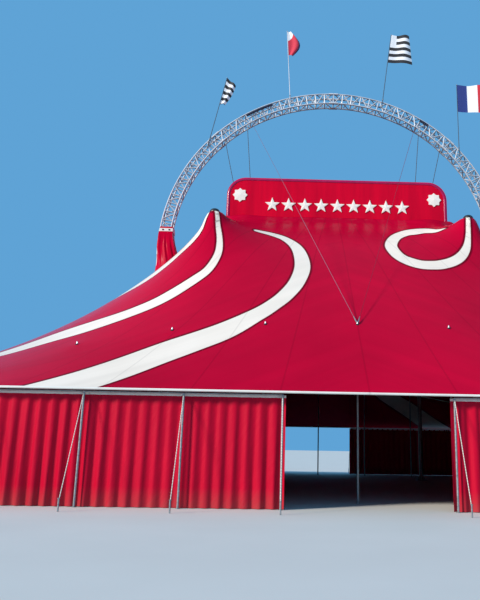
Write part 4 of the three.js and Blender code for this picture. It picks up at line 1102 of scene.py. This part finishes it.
boot_grid = np.array([boot_rows(math.tau * step / BOOT_COLUMNS)
                      for step in range(BOOT_COLUMNS + 1)]).swapaxes(0, 1)
strap_grid = np.array([[boot_point(math.tau * step / STRAP_POINTS, STRAP_TOP - STRAP_WIDTH * row, STRAP_PROUD)
                        for step in range(STRAP_POINTS + 1)] for row in (0, 0.5, 1)])
for side, sx in (("left", -1), ("right", 1)):
    sleeve, area = cloth_piece(f"boot_cloth_{side}", boot_grid * (sx, 1, 1), PLAIN_CANOPY, "red_canopy",
                               f"boot_{side}", smooth_to=60, closed=True)
    cloth_piece(f"boot_strap_{side}", strap_grid * (sx, 1, 1), WEBBING, "white_canopy")
    ratchets = []
    for along in (-RATCHET_APART, RATCHET_APART):
        for face in (-1, 1):
            at = Vector((sx * (ARCH_RADIUS - RATCHET_FROM_LEG) + along, face * RATCHET_OUT,
                         STRAP_TOP - STRAP_WIDTH / 2))
            ratchets.append(block("ratchet", at - RATCHET / 2, at + RATCHET / 2, BLACK, RATCHET_EDGE))
    fit(joined(f"boot_ratchets_{side}", ratchets), "dark_fitting")

# The quarter poles
# Slim galvanised tubes under the roof, with a webbing belt sewn to the skin along their row. Each lifts the
# skin at a rubber pad, and its spike comes through under a small bright tip.
QUARTER_TUBE, QUARTER_FOOT, TUBE_BELOW_SKIN = 0.038, (0.07, 0.02), 0.05
BELT_WIDTH, BELT_BELOW, BELT_POINTS = 0.09, 0.02, 96
PAD_PROFILE = [(0.0, 0.022), (0.035, 0.022), (0.05, 0.012), (0.058, 0.0), (0.055, -0.03), (0.0, -0.03)]
TIP_PROFILE = [(0.0, 0.10), (0.01, 0.096), (0.018, 0.08), (0.024, 0.05), (0.03, 0.02), (0.0, 0.02)]


def cast_aluminium(put, place):
    # sand-cast aluminium, wire-brushed: bright soft grey with a matt grain
    grain = put("TexNoise", {"Vector": place, "Scale": 120.0, "Detail": 3.0})
    rough = put("MapRange", {"Value": grain, "To Min": 0.3, "To Max": 0.5})
    bump = put("Bump", {"Height": grain, "Strength": 0.2, "Distance": 0.001})
    return {"Base Color": "#D6D7DA", "Roughness": rough, "Metallic": 0.9, "Normal": bump}


ALUMINIUM = material("cast_aluminium_tip", cast_aluminium)
QUARTER_ORDER = {"back_right": (1, 1, 0), "back_left": (-1, 1, 1), "front_left": (-1, -1, 0),
                 "front_right": (1, -1, 1)}
pole_length = sum(quarter_lengths(POLE_HEAD_INSET))
for corner, (sx, sy, first) in QUARTER_ORDER.items():
    tubes, pads, tips = [], [], []
    for at in POLE_SPOTS[first:first + POLE_HEADS]:
        x, y, top = at.x * sx, at.y * sy, float(roof_height(at.x, at.y)) + POLE_HEAD_LIFT
        tube = stacked(0, QUARTER_FOOT, (QUARTER_TUBE, top - TUBE_BELOW_SKIN))
        tubes.append(turned("pole", tube, (x, y, 0), STEEL, 20))
        pads.append(turned("pad", PAD_PROFILE, (x, y, top), BLACK, 24))
        tips.append(turned("tip", TIP_PROFILE, (x, y, top), ALUMINIUM, 20))
    belt_rows = []
    for edge in (-0.5, 0.5):
        spots = [along_quarter(pole_length * step / BELT_POINTS, POLE_HEAD_INSET + edge * BELT_WIDTH)[0]
                 for step in range(BELT_POINTS + 1)]
        belt_rows.append([(at.x * sx, at.y * sy, float(roof_height(at.x, at.y)) - BELT_BELOW)
                          for at in spots])
    cloth_piece(f"quarter_pole_belt_{corner}", np.array(belt_rows), WEBBING, "guy_rope")
    fit(joined(f"quarter_pole_tubes_{corner}", tubes), "galvanised_steel", f"quarter_poles_{corner}")
    fit(joined(f"quarter_pole_pads_{corner}", pads), "dark_fitting")
    fit(joined(f"quarter_pole_tips_{corner}", tips), "galvanised_steel")

# The side poles
# Galvanised tubes that hold up the eave, joined by its rail. Each is stayed by a white guy rope of laid
# polyester to a steel stake driven outside the tent.
SIDE_TUBE, SIDE_FOOT = 0.032, (0.06, 0.015)
SIDE_INSET = 0.18
SIDE_POLES = 10
ENTRANCE_POLE = 2.4
RAIL_HALF, RAIL_BELOW_EAVE, RAIL_POINTS = 0.025, 0.085, 61
STAKE_TOP = 0.33
STAKE_PROFILE = [(0, 0), (STAKE_RADIUS, 0), (STAKE_RADIUS, STAKE_TOP - 0.03), (0.032, STAKE_TOP - 0.025),
                 (0.034, STAKE_TOP - 0.005), (0.02, STAKE_TOP), (0, STAKE_TOP)]
GUY_RADIUS = 0.011
GUY_TIE = 0.7 * STAKE_TOP
GUY = material("laid_polyester_rope", laid_strands, "#B9B4A8", "#E4E0D6", 0.05, 0.5, 0.8, 0.0)

side_length = sum(quarter_lengths(SIDE_INSET))
side_pitch = (side_length - ENTRANCE_POLE) / (SIDE_POLES - 0.5)
rail_height = EAVE_HEIGHT - RAIL_BELOW_EAVE
rail_spots = [along_quarter(distance, SIDE_INSET)[0]
              for distance in np.linspace(side_pitch / 2, side_length - ENTRANCE_POLE, RAIL_POINTS)]
for corner, (sx, sy) in MAST_CORNERS.items():
    steel, guys = [], []
    for number in range(SIDE_POLES):
        at, way = along_quarter(side_pitch * (number + 0.5), SIDE_INSET)
        foot = at + way * (SIDE_INSET + STAKE_REACH)
        at, foot = (Vector((spot.x * sx, spot.y * sy, 0)) for spot in (at, foot))
        steel.append(turned("pole", stacked(0, SIDE_FOOT, (SIDE_TUBE, rail_height)), at, STEEL, 18))
        steel.append(turned("stake", STAKE_PROFILE, foot, STEEL, 12))
        guys.append([(at.x, at.y, rail_height), (foot.x, foot.y, GUY_TIE)])
    rail = [(spot.x * sx, spot.y * sy, rail_height) for spot in rail_spots]
    steel.append(rods("rail", [rail], RAIL_HALF, STEEL, 3))
    fit(joined(f"side_pole_tubes_{corner}", steel), "galvanised_steel", f"side_poles_{corner}")
    fit(rods(f"guy_ropes_{corner}", guys, GUY_RADIUS, GUY, 2), "guy_rope")

# The walls
# Red curtains of lighter coated cloth, hung in even pleats from the eave rail to the ground, with a white
# hem along the top. An entrance is left open in the middle of the front and of the back.
WALL_INSET, WALL_TOP, WALL_FOOT = 0.32, 3.06, 0.012
WALL_STEP, WALL_ROWS, WALL_CLOTH = 0.045, 12, 0.004
PLEAT_PITCH, PLEAT_DEPTH = 0.36, 0.055
ENTRANCE_HALF = 2.3
WALL_HEM, WALL_HEM_THICK, WALL_HEM_PROUD = 0.07, 0.012, 0.004


def curtain_cloth(put, place):
    # lighter PVC-coated cloth: bright red with a soft gloss that shows every pleat, small creases and
    # splashed dust along the ground
    cloth = put("UVMap", {}, uv_map="cloth")
    fade = put("TexNoise", {"Vector": place, "Scale": 0.5, "Detail": 4.0})
    crease = put("Mapping", {"Vector": cloth, "Scale": (5.0, 1.2, 1.0)})
    creases = put("TexNoise", {"Vector": crease, "Scale": 1.0, "Detail": 5.0, "Roughness": 0.6})
    height = put("SeparateXYZ", {"Vector": place}, "Z")
    low = put("MapRange", {"Value": height, "From Min": 0.0, "From Max": 0.55, "To Min": 0.6, "To Max": 0.0})
    splash = put("Math", {0: low, 1: creases}, operation="MULTIPLY")
    base = put("Mix", {0: fade, 6: "#C80630", 7: "#AE0528"}, 2, data_type="RGBA")
    colour = put("Mix", {0: splash, 6: base, 7: "#7C5A50"}, 2, data_type="RGBA")
    bump = put("Bump", {"Height": creases, "Strength": 0.5, "Distance": 0.02})
    return {"Base Color": colour, "Roughness": 0.4, "Normal": bump, "Specular IOR Level": 0.1}


CURTAIN = material("coated_red_curtain", curtain_cloth)


def pleated(name, spots, node):
    """A curtain hung along plan places and outward directions, a step apart, from a corner's poles."""
    distance = np.arange(len(spots)) * WALL_STEP
    at, way = np.array(spots).swapaxes(0, 1)
    share = np.linspace(0, 1, WALL_ROWS)[:, None]
    # the pleats wander along the rail, deepen towards the ground and carry a smaller fold
    phase = 2 * math.pi * distance / PLEAT_PITCH + 0.5 * np.sin(distance * 1.7)
    deep = PLEAT_DEPTH * (0.55 + 0.45 * share) * (1 + 0.25 * np.sin(distance * 0.9 + 1))
    fold = deep * (np.sin(phase) + 0.18 * np.sin(2.3 * phase + 4 * share)) * 0.85
    x, y = (at[:, axis] + fold * way[:, axis] for axis in (0, 1))
    grid = np.stack([x, y, np.broadcast_to(WALL_TOP * (1 - share) + WALL_FOOT * share, fold.shape)], -1)
    curtain, area = cloth_piece(name, grid, CURTAIN, "red_curtain", node, thick=WALL_CLOTH, smooth_to=80)
    hem_top = grid[0] + np.pad(WALL_HEM_PROUD * way, ((0, 0), (0, 1)))
    hem, _ = cloth_piece(f"{name}_hem", np.stack([hem_top, hem_top - (0, 0, WALL_HEM)]), WEBBING,
                         "white_canopy", thick=WALL_HEM_THICK)
    cut, _ = cut_size(grid)
    min(area, cut * WALL_TOP)


end_length = quarter_lengths(WALL_INSET)[0]
to_entrance = sum(quarter_lengths(WALL_INSET)) - ENTRANCE_HALF
for side, sx in (("left", -1), ("right", 1)):
    for face, sy in (("front", -1), ("back", 1)):
        spots = [along_quarter(distance, WALL_INSET)
                 for distance in np.arange(end_length, to_entrance + WALL_STEP / 2, WALL_STEP)]
        spots = [((at.x * sx, at.y * sy), (way.x * sx, way.y * sy)) for at, way in spots]
        pleated(f"curtain_{face}_{side}", spots, f"wall_{face}_{side}")
    spots = [((sx * (HALF_LENGTH - WALL_INSET), distance), (sx, 0))
             for distance in np.arange(-end_length, end_length + WALL_STEP / 2, WALL_STEP)]
    pleated(f"curtain_end_{side}", spots, f"wall_end_{side}")

# The flags
# Light knitted polyester flags, hemmed at the pole and flying in a breeze: one striped and half furled, one
# in white and red, one striped with a pale corner, and one of three upright colours.
FLAGS = [
    {"height": 1.60, "widths": (0.50, 0.28), "belly": 0.06, "cut": 0.55, "droops": (0.48, 0), "wave": 0.12},
    {"height": 1.50, "widths": (0.24, 0.24), "belly": 0.44, "cut": 0.65, "droops": (0.1, 0.02), "wave": 0.09},
    {"height": 1.75, "widths": (1.00, 1.38), "belly": 0, "cut": 1.38, "droops": (0.04, 0.04), "wave": 0.11},
    {"height": 1.64, "widths": (1.65, 1.65), "belly": 0, "cut": 1.65, "droops": (0.06, 0.06), "wave": 0.15},
]
STRIPE, BAR = 0.195, 0.55
CORNER_WIDTH, CORNER_HEIGHT = 0.42, 4 * STRIPE
SLANT, SLANT_FROM, OUTER_FROM = -0.9, 0.62, 0.58
FLAG_COLUMNS, FLAG_ROWS, FLAG_CLOTH = 40, 32, 0.003
PALE = "#EDEDEF"


def knitted_polyester(put, _, paint):
    # printed knitted polyester: thin and dull, with small creases
    cloth = put("UVMap", {}, uv_map="cloth")
    apart = put("SeparateXYZ", {"Vector": cloth}, None)
    crease = put("TexNoise", {"Vector": cloth, "Scale": 6.0, "Detail": 4.0})
    bump = put("Bump", {"Height": crease, "Strength": 0.4, "Distance": 0.01})
    colour = paint(put, apart.outputs["X"], apart.outputs["Y"])
    return {"Base Color": colour, "Roughness": 0.75, "Normal": bump, "Sheen Weight": 0.3}


def bars(put, coordinate, width, first, second):
    """Two colours in turn, each as wide as a given length."""
    share = put("Math", {0: coordinate, 1: 2 * width}, operation="MODULO")
    side = put("Math", {0: share, 1: width}, operation="GREATER_THAN")
    return put("Mix", {0: side, 6: first, 7: second}, 2, data_type="RGBA")


def striped(put, across, down):
    return bars(put, down, STRIPE, "#101018", PALE)


def corner_striped(put, across, down):
    near = put("Math", {0: across, 1: CORNER_WIDTH}, operation="LESS_THAN")
    high = put("Math", {0: down, 1: CORNER_HEIGHT}, operation="LESS_THAN")
    corner = put("Math", {0: near, 1: high}, operation="MULTIPLY")
    return put("Mix", {0: corner, 6: striped(put, across, down), 7: PALE}, 2, data_type="RGBA")


def white_over_red(put, across, down):
    slanted = put("Math", {0: across, 1: SLANT, 2: SLANT_FROM}, operation="MULTIPLY_ADD")
    high = put("Math", {0: down, 1: slanted}, operation="LESS_THAN")
    inner = put("Mix", {0: high, 6: "#CE1F3C", 7: PALE}, 2, data_type="RGBA")
    outer = put("Math", {0: across, 1: OUTER_FROM}, operation="GREATER_THAN")
    return put("Mix", {0: outer, 6: inner, 7: "#1B2350"}, 2, data_type="RGBA")


def three_upright(put, across, down):
    beyond = put("Math", {0: across, 1: 2 * BAR}, operation="GREATER_THAN")
    first_two = bars(put, across, BAR, "#14307C", "#F0F0F2")
    return put("Mix", {0: beyond, 6: first_two, 7: "#D0202F"}, 2, data_type="RGBA")


FLAG_FINISHES = [
    ("striped_flag", material("striped_flag_cloth", knitted_polyester, striped)),
    ("red_white_flag", material("white_and_red_flag_cloth", knitted_polyester, white_over_red)),
    ("striped_flag", material("striped_flag_cloth_with_corner", knitted_polyester, corner_striped)),
    ("tricolour_flag", material("three_colour_flag_cloth", knitted_polyester, three_upright)),
]
for number, (shape, (slot, finish)) in enumerate(zip(FLAGS, FLAG_FINISHES), 1):
    (foot_x, foot_z), (top_x, top_z) = FLAGPOLES[number - 1]
    lean = (top_x - foot_x) / (top_z - foot_z)
    share = np.linspace(0, 1, FLAG_COLUMNS)
    down = np.linspace(0, 1, FLAG_ROWS)[:, None]
    width, droop = (high + (low - high) * down for high, low in (shape["widths"], shape["droops"]))
    width = width + shape["belly"] * np.sin(math.pi * down)
    droop = droop * share + 0.03 * share * np.sin(2 * math.pi * share + 3 * down)
    swing = shape["wave"] * share * np.sin(2 * math.pi * share + 0.7 * down)
    z = top_z - POLE_RADIUS - (shape["height"] - POLE_RADIUS) * down
    x = top_x + (z - top_z) * lean + POLE_RADIUS + (width - POLE_RADIUS) * share
    grid = np.stack([x, POLE_FACE + swing, z - droop], -1)
    uv = np.stack(np.broadcast_arrays(shape["cut"] * share, shape["height"] * down), -1)
    flag, area = cloth_piece(f"flag_cloth_{number}", grid, finish, slot, f"flag_{number}", thick=FLAG_CLOTH,
                             smooth_to=80, uv=uv)

# The cupola's ring
# Welded box-section steel, galvanised. It is the part's own shape, seen from inside and under the panels.
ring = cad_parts["cupola_ring"]
ring.data.materials.clear()
ring.data.materials.append(STEEL)
